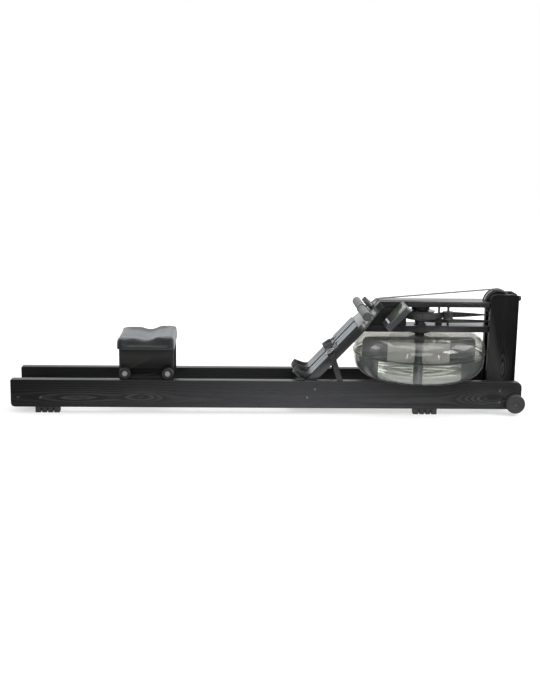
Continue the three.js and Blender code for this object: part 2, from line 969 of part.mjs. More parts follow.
// Handle: a bar with end caps inside a grip
function makeHandle() {
  const centre = onBoard(handle.centre, 0, handle.offset);
  const half = handle.length / 2;
  const capStart = half - handle.capDepth;
  const bar = join(
    rodY(handle.barRadius, -half, half, centre.x, centre.z),
    rodY(handle.gripRadius, capStart, half, centre.x, centre.z, wheelSegments),
    rodY(handle.gripRadius, -half, -capStart, centre.x, centre.z, wheelSegments),
  );
  add("handle_bar", bar, blackPlastic);
  const end = capStart - gap;
  const bore = handle.barRadius + gap;
  const grip = turnedY(
    [
      [bore, -end],
      [handle.gripRadius, -end],
      [handle.gripRadius, end],
      [bore, end],
    ],
    wheelSegments,
    centre.x,
    centre.z,
  );
  add("handle_grip", grip, padding);
}

// Unit vector at an angle in the X and Z plane
function spoke(angle) {
  return new THREE.Vector3(Math.cos(angle), 0, Math.sin(angle));
}

// Angle of the top pulley at which the handle's strap leaves it, and the corner that it comes from
function strapTangent() {
  const corner = new THREE.Vector3(
    slopeCut(board.length, topDeck.top),
    0,
    topDeck.top + webbing.lift + webbing.thickness / 2,
  );
  const centre = new THREE.Vector3(topX(), 0, topPulley.height);
  const radius = topPulley.radius + wrapGap + webbing.thickness / 2;
  const toCorner = corner.clone().sub(centre);
  const direction = Math.atan2(toCorner.z, toCorner.x);
  const angle = direction - Math.acos(radius / toCorner.length());
  const point = centre.clone().addScaledVector(spoke(angle), radius);
  return { corner, centre, radius, angle, point };
}

// The handle's strap: a loop round the grip, a run to the deck's corner and a run to the top pulley
function makeHandleStrap() {
  const { corner, point } = strapTangent();
  const centre = onBoard(handle.centre, 0, handle.offset);
  const inner = handle.gripRadius + webbing.loopGap;
  const half = webbing.width / 2;
  const loop = turnedY(
    [
      [inner, -half],
      [inner + webbing.thickness, -half],
      [inner + webbing.thickness, half],
      [inner, half],
    ],
    wheelSegments,
    centre.x,
    centre.z,
  );
  const run = corner.clone().sub(centre).normalize();
  const start = centre.clone().addScaledVector(run, inner + webbing.thickness / 2);
  const farEnd = point.clone().addScaledVector(point.clone().sub(corner).normalize(), -gap);
  const path = [start, corner.clone().addScaledVector(run, -webbing.width / 2)];
  const next = farEnd.clone().sub(corner).normalize();
  const bendEnd = corner.clone().addScaledVector(next, webbing.width / 2);
  const bend = new THREE.QuadraticBezierCurve3(path[1], corner, bendEnd);
  path.push(...bend.getPoints(webbing.bendSteps).slice(1));
  path.push(bendEnd.clone().lerp(farEnd, 1 / 2), farEnd);
  const stations = followed(path, () => new THREE.Vector3(0, 1, 0));
  const strip = ribbon(stations, webbing.width, webbing.thickness);
  add("handle_strap", join(loop, strip), webbed);
}

// Stations of a strap along points, with its width direction given for each point
function followed(path, acrossAt) {
  return path.map((centre, i) => {
    const before = path[Math.max(i - 1, 0)];
    const after = path[Math.min(i + 1, path.length - 1)];
    const forward = after.clone().sub(before).normalize();
    const wanted = acrossAt(centre);
    const through = new THREE.Vector3().crossVectors(forward, wanted).normalize();
    const across = new THREE.Vector3().crossVectors(through, forward).normalize();
    return { centre, across, through };
  });
}

// Points round a circle in a flat plane, from one angle by a turn
function around(centre, radius, from, turn, steps, place) {
  return Array.from({ length: steps + 1 }, (_, i) => {
    const angle = from + (turn * i) / steps;
    return place(centre, radius, angle);
  });
}

const inXZ = (centre, radius, angle) => centre.clone().addScaledVector(spoke(angle), radius);
const inXY = (centre, radius, angle) =>
  new THREE.Vector3(centre.x + radius * Math.cos(angle), centre.y + radius * Math.sin(angle), centre.z);

// Angle at which a crossed belt leaves one circle towards another, both seen from above
function crossedTangent(from, fromRadius, to, toRadius, side) {
  const line = new THREE.Vector2(to.x - from.x, to.y - from.y);
  const open = Math.acos((fromRadius + toRadius) / line.length());
  return line.angle() + side * open;
}

// A run of points between two ends, without the first
function between(a, b, steps) {
  return Array.from({ length: steps }, (_, i) => a.clone().lerp(b, (i + 1) / steps));
}

// Strap from the top pulley past its guide to the drum
function makeDriveStrap() {
  const { centre, radius, angle } = strapTangent();
  const offset = wrapGap + driveStrap.thickness / 2;
  const low = centre.z - radius;
  const guideCentre = new THREE.Vector3(tankX + guide.distance, guide.offset, low);
  const guideRadius = guide.radius + offset;
  const drumCentre = new THREE.Vector3(tankX, 0, low);
  const drumRadius = drum.radius + offset;
  const start = angle - gap / radius;
  const wrap = around(centre, radius, start, -quarterTurn - start, driveStrap.wrapSteps, inXZ);
  const pulleyEnd = wrap.at(-1);
  const guideStart = new THREE.Vector3(guideCentre.x, guideCentre.y + guideRadius, low);
  const leave = crossedTangent(drumCentre, drumRadius, guideCentre, guideRadius, -1);
  const guideAngle = leave + halfTurn;
  const guideTurn = normal(guideAngle - quarterTurn);
  const guideWrap = around(guideCentre, guideRadius, quarterTurn, guideTurn, driveStrap.guideSteps, inXY);
  const turn = -driveStrap.turnAngle * degree;
  const drumWrap = around(drumCentre, drumRadius, leave, turn, driveStrap.wrapSteps, inXY);
  const twist = between(pulleyEnd, guideStart, driveStrap.runSteps);
  const toDrum = between(guideWrap.at(-1), drumWrap[0], driveStrap.guideSteps);
  const path = [...wrap, ...twist, ...guideWrap.slice(1), ...toDrum, ...drumWrap.slice(1)];
  const acrossAt = twisting(pulleyEnd.x, guideStart.x);
  add("drive_strap", ribbon(followed(path, acrossAt), driveStrap.width, driveStrap.thickness), webbed);
}

// An angle brought between minus and plus half a turn
function normal(angle) {
  return Math.atan2(Math.sin(angle), Math.cos(angle));
}

// Width direction that turns from Y at the first X to Z at the second
function twisting(flatX, uprightX) {
  return (centre) => {
    const share = THREE.MathUtils.clamp((flatX - centre.x) / (flatX - uprightX), 0, 1);
    return new THREE.Vector3(0, Math.cos(share * quarterTurn), -Math.sin(share * quarterTurn));
  };
}

// Recoil strap: from the spool past its guide, over the return pulley, down and back between the rails
function makeRecoilStrap() {
  const offset = wrapGap + recoilStrap.thickness / 2;
  const z = returnPulley.height + returnPulley.radius + offset;
  const spoolCentre = new THREE.Vector3(tankX, 0, z);
  const spoolRadius = drum.spoolRadius + offset;
  const guideCentre = new THREE.Vector3(tankX + lowerGuide.distance, lowerGuide.offset, z);
  const guideRadius = lowerGuide.radius + offset;
  const upper = pulleyCentre(returnPulley);
  const upperRadius = returnPulley.radius + offset;
  const lower = pulleyCentre(bottomPulley);
  const lowerRadius = bottomPulley.radius + offset;
  const leave = crossedTangent(spoolCentre, spoolRadius, guideCentre, guideRadius, 1);
  const turn = recoilStrap.turnAngle * degree;
  const spoolWrap = around(spoolCentre, spoolRadius, leave + turn, -turn, driveStrap.wrapSteps, inXY);
  const guideAngle = leave + halfTurn;
  const guideTurn = normal(-quarterTurn - guideAngle);
  const guideWrap = around(guideCentre, guideRadius, guideAngle, guideTurn, driveStrap.guideSteps, inXY);
  const upperWrap = around(upper, upperRadius, quarterTurn, -quarterTurn, driveStrap.guideSteps, inXZ);
  const lowerWrap = around(lower, lowerRadius, 0, -quarterTurn, driveStrap.guideSteps, inXZ);
  const anchor = recoilAnchor(lowerWrap.at(-1).z);
  const path = [
    ...spoolWrap,
    ...between(spoolWrap.at(-1), guideWrap[0], recoilStrap.runSteps),
    ...guideWrap.slice(1),
    ...between(guideWrap.at(-1), upperWrap[0], driveStrap.runSteps),
    ...upperWrap.slice(1),
    ...between(upperWrap.at(-1), lowerWrap[0], recoilStrap.runSteps),
    ...lowerWrap.slice(1),
    ...anchor,
  ];
  const acrossAt = (centre) => {
    const passed = THREE.MathUtils.clamp((upper.x - centre.x) / (upper.x - guideCentre.x), 0, 1);
    const share = centre.z > upper.z ? passed : 0;
    return new THREE.Vector3(0, Math.cos(share * quarterTurn), Math.sin(share * quarterTurn));
  };
  add("recoil_strap", ribbon(followed(path, acrossAt), recoilStrap.width, recoilStrap.thickness), webbed);
}

function pulleyCentre(pulley) {
  return new THREE.Vector3(postRear + pulley.distance, 0, pulley.height);
}

// Points from under the front spacer to the lower face of the foot board's spacer
function recoilAnchor(z) {
  const depth = -board.thickness - gap - boardSpacer.thickness - gap;
  const end = onBoard(recoilStrap.anchor, 0, depth);
  const rise = (end.z - z) / outward.z;
  const turn = end.clone().addScaledVector(outward, -rise);
  const reach = recoilStrap.width / 2;
  const before = turn.clone().setX(turn.x + reach);
  const after = turn.clone().addScaledVector(outward, reach);
  return [before, after, end];
}

// Drum that the drive strap winds on, over the spool of the recoil strap
function makeDrum() {
  const spoolBottom = lowerDeck.top + gap;
  const bore = shaft.radius + runningGap;
  const flange = drum.flangeThickness;
  const top = drum.bottom + drum.height;
  const profile = [
    [bore, spoolBottom],
    [drum.spoolFlangeRadius, spoolBottom],
    [drum.spoolFlangeRadius, spoolBottom + flange],
    [drum.spoolRadius, spoolBottom + flange],
    [drum.spoolRadius, drum.bottom - flange],
    [drum.flangeRadius, drum.bottom - flange],
    [drum.flangeRadius, drum.bottom],
    [drum.radius, drum.bottom],
    [drum.radius, top],
    [drum.flangeRadius, top],
    [drum.flangeRadius, top + flange],
    [bore, top + flange],
  ];
  add("drive_pulley", turnedZ(profile, wheelSegments, tankX, 0), blackPlastic);
}

// Guides that turn on upright pins between the decks
function makeGuides() {
  const pieces = [
    { name: "guide_pulley", piece: guide, z0: drum.bottom, z1: drum.bottom + drum.height },
    {
      name: "lower_guide_pulley",
      piece: lowerGuide,
      z0: lowerDeck.top + lowerGuide.flange + gap,
      z1: drum.bottom - drum.flangeThickness - lowerGuide.flange,
    },
  ];
  pieces.forEach(({ name, piece, z0, z1 }) => {
    const rim = piece.radius + piece.flange;
    const profile = [
      [0, pinBottom()],
      [piece.pinRadius, pinBottom()],
      [piece.pinRadius, z0 - piece.flange],
      [rim, z0 - piece.flange],
      [rim, z0],
      [piece.radius, z0],
      [piece.radius, z1],
      [rim, z1],
      [rim, z1 + piece.flange],
      [piece.pinRadius, z1 + piece.flange],
      [piece.pinRadius, pinTop()],
      [0, pinTop()],
    ];
    add(name, turnedZ(profile, rodSegments, tankX + piece.distance, piece.offset), blackPlastic);
  });
}

// Pulleys between the posts
function makePulleys() {
  const bore = topAxle.radius + runningGap;
  const rim = topPulley.rimWidth / 2;
  const web = topPulley.webWidth / 2;
  const half = topPulley.width / 2;
  const innerRim = topPulley.radius - topPulley.rimDepth;
  const right = [
    [bore, half],
    [topPulley.hubRadius, half],
    [topPulley.hubRadius, web],
    [innerRim, web],
    [innerRim, half],
    [topPulley.flangeRadius, half],
    [topPulley.flangeRadius, rim],
    [topPulley.radius, rim],
  ];
  const profile = [...right, ...right.map(([r, h]) => [r, -h]).reverse()];
  add("top_pulley", turnedY(profile, wheelSegments, topX(), topPulley.height), blackPlastic);
  const axleHalf = topAxle.length / 2;
  add("top_axle", rodY(topAxle.radius, -axleHalf, axleHalf, topX(), topPulley.height), steel);
  const journal = smallPulley.journalLength / 2;
  const side = smallPulley.width / 2;
  const groove = smallPulley.rimWidth / 2;
  const small = [
    { name: "return_pulley", pulley: returnPulley },
    { name: "bottom_pulley", pulley: bottomPulley },
  ];
  small.forEach(({ name, pulley }) => {
    const edge = pulley.radius + smallPulley.flange;
    const upper = [
      [pulley.radius, groove],
      [edge, groove],
      [edge, side],
      [smallPulley.journalRadius, side],
      [smallPulley.journalRadius, journal],
      [0, journal],
    ];
    const whole = [...upper, ...upper.map(([r, h]) => [r, -h]).reverse()];
    add(name, turnedY(whole, rodSegments, postRear + pulley.distance, pulley.height), blackPlastic);
  });
}

// Tank: a lower and an upper half with a seal between their flanges
function makeTank() {
  const wall = tank.wall;
  const bottom = railTop + gap;
  const r = tank.radius;
  const lowCorner = tank.lowerCorner;
  const lowRadius = r - lowCorner;
  const lowCentre = bottom + lowCorner;
  const rim = tank.seamHeight - tank.sealThickness / 2 - gap;
  const flangeBottom = rim - tank.flangeThickness;
  const lower = [
    [0, bottom],
    ...arc(lowRadius, lowCentre, lowCorner, -90, 0, tank.arcSteps),
    [r, flangeBottom],
    [tankFlange, flangeBottom],
    [tankFlange, rim],
    [r - wall, rim],
    ...arc(lowRadius, lowCentre, lowCorner - wall, 0, -90, tank.arcSteps),
    [0, bottom + wall],
  ];
  add("tank_lower", turnedZ(lower, tankSegments, tankX, 0), clear);
  const edge = tank.seamHeight + tank.sealThickness / 2 + gap;
  const flangeTop = edge + tank.flangeThickness;
  const highCorner = tank.upperCorner;
  const highRadius = r - highCorner;
  const shoulder = tank.top - tank.crown;
  const highCentre = shoulder - highCorner;
  const upper = [
    [r - wall, edge],
    [tankFlange, edge],
    [tankFlange, flangeTop],
    [r, flangeTop],
    ...arc(highRadius, highCentre, highCorner, 0, 90, tank.arcSteps),
    [tank.neckRadius, tank.top],
    [tank.neckRadius, tank.top - wall],
    ...arc(highRadius, highCentre, highCorner - wall, 90, 0, tank.arcSteps),
  ];
  add("tank_upper", turnedZ(upper, tankSegments, tankX, 0), clear);
  const outer = tankFlange - tank.sealInset;
  const inner = outer - tank.sealWidth;
  const seal = [
    [inner, tank.seamHeight - tank.sealThickness / 2],
    [outer, tank.seamHeight - tank.sealThickness / 2],
    [outer, tank.seamHeight + tank.sealThickness / 2],
    [inner, tank.seamHeight + tank.sealThickness / 2],
  ];
  add("tank_seal", turnedZ(seal, tankSegments, tankX, 0), rubber);
}

// Bearing of the paddle's shaft: a flange on the tank and a sleeve through the lower deck
function makeBearing() {
  const bore = shaft.radius + runningGap;
  const flangeBottom = tank.top + gap;
  const flangeTop = lowerDeck.top - lowerDeck.thickness - gap;
  const profile = [
    [bore, bearing.bottom],
    [bearing.sleeveRadius, bearing.bottom],
    [bearing.sleeveRadius, flangeBottom],
    [bearing.flangeRadius, flangeBottom],
    [bearing.flangeRadius, flangeTop],
    [bearing.sleeveRadius, flangeTop],
    [bearing.sleeveRadius, lowerDeck.top],
    [bore, lowerDeck.top],
  ];
  add("shaft_bearing", turnedZ(profile, wheelSegments, tankX, 0), blackPlastic);
}

// Paddle: two blades that hang from arms on a flared hub
function makePaddle() {
  const p = paddle;
  const inner = p.top - p.armHeight;
  const shape = outline([
    [-bladeOuter, p.bladeBottom, p.innerRadius],
    [-p.bladeInner, p.bladeBottom, p.innerRadius],
    [-p.bladeInner, inner, p.innerRadius],
    [p.bladeInner, inner, p.innerRadius],
    [p.bladeInner, p.bladeBottom, p.innerRadius],
    [bladeOuter, p.bladeBottom, p.innerRadius],
    [bladeOuter, p.top, p.cornerRadius],
    [-bladeOuter, p.top, p.cornerRadius],
  ]);
  const plate = plateY(shape, -p.thickness / 2, p.thickness / 2).translate(tankX, 0, 0);
  const flare = Array.from({ length: p.flareSteps + 1 }, (_, i) => {
    const angle = (quarterTurn * i) / p.flareSteps;
    const r = p.flareRadius - (p.flareRadius - p.hubRadius) * Math.sin(angle);
    return [r, p.top - p.flareHeight * (1 - Math.cos(angle))];
  });
  const hub = turnedZ(
    [[0, p.top], ...flare, [p.hubRadius, p.hubBottom], [0, p.hubBottom]],
    wheelSegments,
    tankX,
    0,
  );
  const bore = rodZ(shaft.radius + gap, p.hubBottom - overrun, p.top + overrun, tankX, 0);
  add("paddle", cut(join(plate, hub), bore), greyPlastic);
  add("paddle_shaft", rodZ(shaft.radius, shaft.bottom, shaft.top, tankX, 0), steel);
}

// Seat frame: two side panels under a board, with the axles' bores
function makeSeatFrame() {
  const x = seatX;
  const half = seat.length / 2;
  const outer = seatSide;
  const inner = outer - seat.panelThickness;
  const bottom = railTop - seat.panelDrop;
  const top = seat.cushionBottom - gap;
  const whole = block(x - half, x + half, -outer, outer, bottom, top);
  const hollow = block(
    x - half - overrun,
    x + half + overrun,
    -inner,
    inner,
    bottom - overrun,
    top - seat.boardThickness,
  );
  const bores = [-1, 1].map((end) =>
    rodY(seatAxle.radius + gap, -outer - overrun, outer + overrun, rollerX(end), rollerHeight),
  );
  add("seat_frame", cut(whole, hollow, ...bores), ash);
}

function rollerX(end) {
  return seatX + (end * roller.wheelbase) / 2;
}

// Rollers on the rails and the axles that carry them
function makeRollers() {
  const inner = seatSide + roller.clearance;
  const outer = inner + roller.width;
  const bore = seatAxle.radius + runningGap;
  const lip = roller.lip;
  const profile = [
    [bore, inner],
    [roller.radius - lip, inner],
    [roller.radius, inner + lip],
    [roller.radius, outer - lip],
    [roller.radius - lip, outer],
    [roller.hubRadius, outer],
    [roller.hubRadius, outer - roller.hubDepth],
    [bore, outer - roller.hubDepth],
  ];
  const ends = [
    { name: "rear", sign: -1 },
    { name: "front", sign: 1 },
  ];
  ends.forEach(({ name, sign: end }) => {
    const x = rollerX(end);
    sides.forEach(({ name: side, sign }) => {
      const geometry = turnedY(profile, wheelSegments);
      if (sign < 0) geometry.rotateX(halfTurn);
      add("roller_" + name + "_" + side, geometry.translate(x, 0, rollerHeight), rubber);
    });
    const reach = outer - roller.hubDepth + gap;
    const tip = reach + seatAxle.headDepth;
    const axle = join(
      rodY(seatAxle.radius, -tip, tip, x, rollerHeight),
      rodY(seatAxle.headRadius, reach, tip, x, rollerHeight),
      rodY(seatAxle.headRadius, -tip, -reach, x, rollerHeight),
    );
    add("seat_axle_" + name, axle, steel);
  });
}

// Height of the cushion's top over its bottom, for shares of its half length and half width
function cushionHeight(s, t) {
  const c = cushion;
  const wave = (1 + Math.cos(halfTurn * THREE.MathUtils.clamp(s / c.dipShare, -1, 1))) / 2;
  const ends = s < 0 ? c.rearHeight : c.frontHeight;
  const edge = ends - (ends - c.middleHeight) * wave;
  const hollow = c.basin * Math.cos((quarterTurn * t) / c.basinShare) ** 2 * (1 - s * s);
  const inside = Math.abs(t) < c.basinShare ? hollow : 0;
  return edge + c.crown * (1 - t * t) - inside;
}

// Cushion: a grid over its top whose rim rolls down to drawn-in sides
function makeCushion() {
  const c = cushion;
  const rings = [];
  const rim = cushionRim();
  const rows = [
    { inset: c.waist, share: 0 },
    { inset: 0, share: c.bulgeShare },
    { inset: c.shoulderInset, share: c.shoulderShare },
    { inset: c.rimInset, share: c.rimShare },
    { inset: c.edgeRadius, share: 1 },
  ];
  rows.forEach(({ inset, share }) => rings.push(rimRing(rim, inset, share)));
  for (let i = 1; i <= c.topRings; i++) {
    rings.push(rimRing(rim, c.edgeRadius, 1, 1 - i / (c.topRings + 1)));
  }
  add("seat_cushion", lofted(rings).translate(seatX, 0, seat.cushionBottom), padding);
}

// Points round a rectangle with rounded corners, as shares of the half sizes
function cushionRim() {
  const halfLength = cushion.length / 2;
  const halfWidth = cushion.width / 2;
  const r = cushion.cornerRadius;
  const shape = rectangle(-halfLength, halfLength, -halfWidth, halfWidth, r);
  const corners = shape.getPoints(cornerSegments);
  const points = [];
  corners.forEach((point, i) => {
    const next = corners[(i + 1) % corners.length];
    const count = Math.max(1, Math.round(point.distanceTo(next) / cushion.rimStep));
    for (let k = 0; k < count; k++) points.push(point.clone().lerp(next, k / count));
  });
  return points.filter((point, i) => point.distanceTo(points[(i + 1) % points.length]) > mergeTolerance);
}

// One ring of the cushion: the rim drawn in by an inset, at a share of the height, shrunk to the middle
function rimRing(rim, inset, share, shrink = 1) {
  const halfLength = cushion.length / 2;
  const halfWidth = cushion.width / 2;
  return rim.map((point) => {
    const x = point.x * (1 - inset / halfLength) * shrink;
    const y = point.y * (1 - inset / halfWidth) * shrink;
    const z = cushionHeight(x / halfLength, y / halfWidth) * share;
    return new THREE.Vector3(x, y, z);
  });
}

// A closed body through rings of as many points each, closed by a fan at both ends
function lofted(rings) {
  const count = rings[0].length;
  const points = [];
  const triangles = [];
  rings.forEach((ring) => ring.forEach((p) => points.push(p.x, p.y, p.z)));
  for (let i = 0; i < rings.length - 1; i++) {
    for (let j = 0; j < count; j++) {
      const k = (j + 1) % count;
      const a = i * count + j;
      const b = i * count + k;
      triangles.push(a, b, b + count, a, b + count, a + count);
    }
  }
  const first = points.length / 3;
  points.push(0, 0, 0);
  points.push(0, 0, cushionHeight(0, 0));
  const top = (rings.length - 1) * count;
  for (let j = 0; j < count; j++) {
    const k = (j + 1) % count;
    triangles.push(first, k, j);
    triangles.push(first + 1, top + j, top + k);
  }
  const geometry = new THREE.BufferGeometry();
  geometry.setAttribute("position", new THREE.BufferAttribute(new Float32Array(points), 3));
  geometry.setIndex(triangles);
  return outwardFacing(geometry);
}

// Monitor: a case that tilts on the mount's pin, its lens and its keys
function makeMonitor() {
  const centre = monitorCentre();
  const group = new THREE.Group();
  group.position.copy(centre);
  group.rotation.y = -slope;
  machine.add(group);
  const m = monitor;
  const half = m.thickness / 2;
  const body = plateZ(
    rectangle(-m.length / 2, m.length / 2, -m.width / 2, m.width / 2, m.cornerRadius),
    -half,
    half,
  );
  const lensShape = (grow) =>
    rectangle(
      m.lensStart - grow,
      m.lensStart + m.lensLength + grow,
      -m.lensWidth / 2 - grow,
      m.lensWidth / 2 + grow,
      m.lensRadius,
    );
  const pocket = plateZ(lensShape(gap), half - m.lensDepth - gap, half + overrun);
  const bore = rodY(mount.pinRadius + gap, m.width / 2 - mount.pinReach - gap, m.width / 2 + overrun, 0, 0);
  const wells = [];
  for (let i = -1; i <= 1; i++) {
    const grow = runningGap;
    const shape = rectangle(
      key.fromCentre - key.length / 2 - grow,
      key.fromCentre + key.length / 2 + grow,
      i * key.pitch - key.width / 2 - grow,
      i * key.pitch + key.width / 2 + grow,
      key.cornerRadius,
    );
    const floor = half + key.proud - key.height - key.travel - gap;
    wells.push(plateZ(shape, floor, half + overrun));
  }
  add("monitor_case", cut(body, pocket, bore, ...wells), blackPlastic, group);
  add("monitor_lens", plateZ(lensShape(0), half - m.lensDepth, half), screen, group);
  for (let i = -1; i <= 1; i++) {
    const shape = rectangle(
      key.fromCentre - key.length / 2,
      key.fromCentre + key.length / 2,
      i * key.pitch - key.width / 2,
      i * key.pitch + key.width / 2,
      key.cornerRadius,
    );
    const top = half + key.proud;
    add("monitor_key_" + (i + 2), plateZ(shape, top - key.height, top), greyPlastic, group);
  }
}

makeRails();
makeSpacers();
makeFeet();
makeSeatStops();
makeWheels();
makePosts();
makeDecks();
makeMount();
makeFootboard();
makeStruts();
makeFootrests();
makeFootStraps();
makeHandleRest();
makeHandle();
makeHandleStrap();
makeDriveStrap();
makeRecoilStrap();
makeDrum();
makeGuides();
makePulleys();
makeTank();
makeBearing();
makePaddle();
makeSeatFrame();
makeRollers();
makeCushion();
makeMonitor();

export default machine;
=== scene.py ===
import json
import math
from contextlib import contextmanager

import bmesh
import bpy
from mathutils import Matrix, Vector

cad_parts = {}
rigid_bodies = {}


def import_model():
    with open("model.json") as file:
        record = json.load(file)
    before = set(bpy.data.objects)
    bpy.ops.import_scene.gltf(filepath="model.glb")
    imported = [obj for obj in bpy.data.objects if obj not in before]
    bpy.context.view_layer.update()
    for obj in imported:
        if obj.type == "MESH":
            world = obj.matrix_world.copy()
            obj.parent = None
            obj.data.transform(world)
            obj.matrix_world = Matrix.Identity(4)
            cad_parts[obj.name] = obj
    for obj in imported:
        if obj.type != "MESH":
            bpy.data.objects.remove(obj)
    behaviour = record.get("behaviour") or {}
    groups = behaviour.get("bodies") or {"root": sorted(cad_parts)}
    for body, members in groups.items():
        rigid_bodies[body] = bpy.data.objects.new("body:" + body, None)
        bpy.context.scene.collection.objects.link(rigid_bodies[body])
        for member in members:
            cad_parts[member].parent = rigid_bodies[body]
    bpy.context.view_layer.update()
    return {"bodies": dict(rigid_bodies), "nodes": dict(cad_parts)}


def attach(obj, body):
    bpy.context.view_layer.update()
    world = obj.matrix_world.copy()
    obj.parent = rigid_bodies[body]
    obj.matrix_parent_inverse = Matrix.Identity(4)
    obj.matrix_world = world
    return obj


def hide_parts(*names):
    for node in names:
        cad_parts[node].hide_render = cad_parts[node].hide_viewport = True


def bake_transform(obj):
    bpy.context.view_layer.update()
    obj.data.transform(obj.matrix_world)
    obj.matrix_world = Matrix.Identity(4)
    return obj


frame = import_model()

# Lengths below are millimetres in the CAD frame, other than the camera's and the lamps'.
MM = 0.001
SLOPE = math.radians(47)
UPHILL = Vector((math.cos(SLOPE), 0, math.sin(SLOPE)))
OUTWARD = Vector((-math.sin(SLOPE), 0, math.cos(SLOPE)))
BOARD_FOOT = Vector((153, 0, 137.5))
TANK_AXIS = (630, 0, 0)
SIDES = (("right", -1), ("left", 1))


# The camera stands where the photograph was taken from.
CAMERA_PLACE = Vector((-0.151, -4.537, 1.182))
CAMERA_YAW = math.radians(1.9688)
CAMERA_PITCH = math.radians(11.7451)
CAMERA_ROLL = math.radians(-0.8023)
CAMERA_LENS_MM = 57.05


def make_camera():
    """Looks ahead along +Y, turned by the yaw, pitched down and rolled."""
    ahead = Vector((
        math.sin(CAMERA_YAW) * math.cos(CAMERA_PITCH),
        math.cos(CAMERA_YAW) * math.cos(CAMERA_PITCH),
        -math.sin(CAMERA_PITCH),
    ))
    level = Vector((math.cos(CAMERA_YAW), -math.sin(CAMERA_YAW), 0))
    down = ahead.cross(level)
    across = math.cos(CAMERA_ROLL) * level + math.sin(CAMERA_ROLL) * down
    below = -math.sin(CAMERA_ROLL) * level + math.cos(CAMERA_ROLL) * down
    data = bpy.data.cameras.new("camera")
    data.lens = CAMERA_LENS_MM
    data.sensor_width = 36
    data.sensor_fit = "AUTO"
    camera = bpy.data.objects.new("camera", data)
    bpy.context.scene.collection.objects.link(camera)
    turn = Matrix((across, -below, -ahead)).transposed().to_4x4()
    camera.matrix_world = Matrix.Translation(CAMERA_PLACE) @ turn
    bpy.context.scene.camera = camera


make_camera()
bpy.context.scene.view_settings.view_transform = "Standard"


# Node trees


def fill(tree, node, inputs):
    """Sets a node's inputs, or links them where the value is another node's output."""
    for key, value in dict(inputs).items():
        if isinstance(value, bpy.types.NodeSocket):
            tree.links.new(value, node.inputs[key])
        else:
            node.inputs[key].default_value = value


def put(tree, kind, inputs=(), **settings):
    """Adds a shader node, with values or links on its inputs."""
    node = tree.nodes.new("ShaderNode" + kind)
    for key, value in settings.items():
        setattr(node, key, value)
    fill(tree, node, inputs)
    return node


def math_of(tree, operation, first, second=0.0, clamp=False):
    node = put(tree, "Math", {0: first, 1: second}, operation=operation, use_clamp=clamp)
    return node.outputs[0]


def times(tree, first, second):
    return math_of(tree, "MULTIPLY", first, second)


def plus(tree, first, second):
    return math_of(tree, "ADD", first, second)


def minus(tree, first, second):
    return math_of(tree, "SUBTRACT", first, second)


def vector_of(tree, operation, first, second):
    return put(tree, "VectorMath", {0: first, 1: second}, operation=operation).outputs[0]


def length_of(tree, vector):
    return put(tree, "VectorMath", {0: vector}, operation="LENGTH").outputs["Value"]


def mapped(tree, vector, scale=(1, 1, 1), turn=(0, 0, 0), move=(0, 0, 0)):
    values = {"Vector": vector, "Location": move, "Rotation": turn, "Scale": scale}
    return put(tree, "Mapping", values).outputs[0]


def noise(tree, vector, scale=1.0, detail=3.0, share=0.5, output="Fac"):
    values = {"Vector": vector, "Scale": scale, "Detail": detail, "Roughness": share}
    return put(tree, "TexNoise", values).outputs[output]


def spread(tree, value, low, high, bottom=0.0, top=1.0):
    """Maps low..high to bottom..top, and holds it there."""
    values = {"Value": value, "From Min": low, "From Max": high, "To Min": bottom, "To Max": top}
    return put(tree, "MapRange", values).outputs[0]


def mixed(tree, share, first, second):
    """A colour between two."""
    node = put(tree, "Mix", {0: share, 6: first, 7: second}, data_type="RGBA")
    return node.outputs[2]


def bumped(tree, height, depth_mm, strength=1.0):
    values = {"Height": height, "Distance": depth_mm * MM, "Strength": strength}
    return put(tree, "Bump", values).outputs[0]


def bell(tree, axis, spot, reach):
    """Fades from 1 at a spot to 0 around it; where a reach is 0, it doesn't fade that way."""
    near = vector_of(tree, "SUBTRACT", axis, spot)
    near = vector_of(tree, "MULTIPLY", near, tuple(1 / (r * MM) if r else 0 for r in reach))
    far = put(tree, "VectorMath", {0: near, 1: near}, operation="DOT_PRODUCT").outputs["Value"]
    return math_of(tree, "EXPONENT", times(tree, far, -1.0))


def show(tree, surface):
    """Makes a shader the material's own."""
    tree.links.new(surface, tree.nodes["Material Output"].inputs["Surface"])


def grey(level, warmth=0.0):
    return (level * (1 + warmth), level, level * (1 - warmth), 1)


def new_look(name):
    """A material, its tree and the object's coordinates."""
    material = bpy.data.materials.new(name)
    material.use_nodes = True
    tree = material.node_tree
    return material, tree, put(tree, "TexCoord").outputs["Object"]


def shader_of(tree):
    return tree.nodes["Principled BSDF"]


def feed(material, **values):
    """Sets or links inputs of the material's main shader."""
    tree = material.node_tree
    inputs = {key.replace("_", " "): value for key, value in values.items()}
    fill(tree, shader_of(tree), inputs)


def varnish(material, weight, rough):
    """A thin smooth coat over the surface."""
    feed(material, Coat_Weight=weight, Coat_Roughness=rough)


def soften(material, weight, tint):
    """A tinted sheen, seen at low angles."""
    feed(material, Sheen_Weight=weight, Sheen_Tint=tint)


def edge_wear(tree):
    """A share that rises on outer edges."""
    point = put(tree, "NewGeometry").outputs["Pointiness"]
    return spread(tree, point, 0.52, 0.60)


# Materials

GRAIN_X = (0, 0, 0)
GRAIN_Y = (0, 0, -math.pi / 2)
GRAIN_Z = (0, math.pi / 2, 0)
GRAIN_SLOPE = (0, SLOPE, 0)
RING_STEP = 9.5
WOOD_DARK = (0.0015, 0.0016, 0.0019)
WOOD_LIGHT = (0.0425, 0.0435, 0.048)
KNOT_LINE = (0.10, 0.101, 0.106, 1)
# Colour of the painted highlight.
WOOD_PAINTED_HIGHLIGHT = (0.052, 0.053, 0.058, 1)
WOOD_PORE = (0.002, 0.002, 0.0022, 1)
WOOD_WORN = (0.075, 0.074, 0.072, 1)


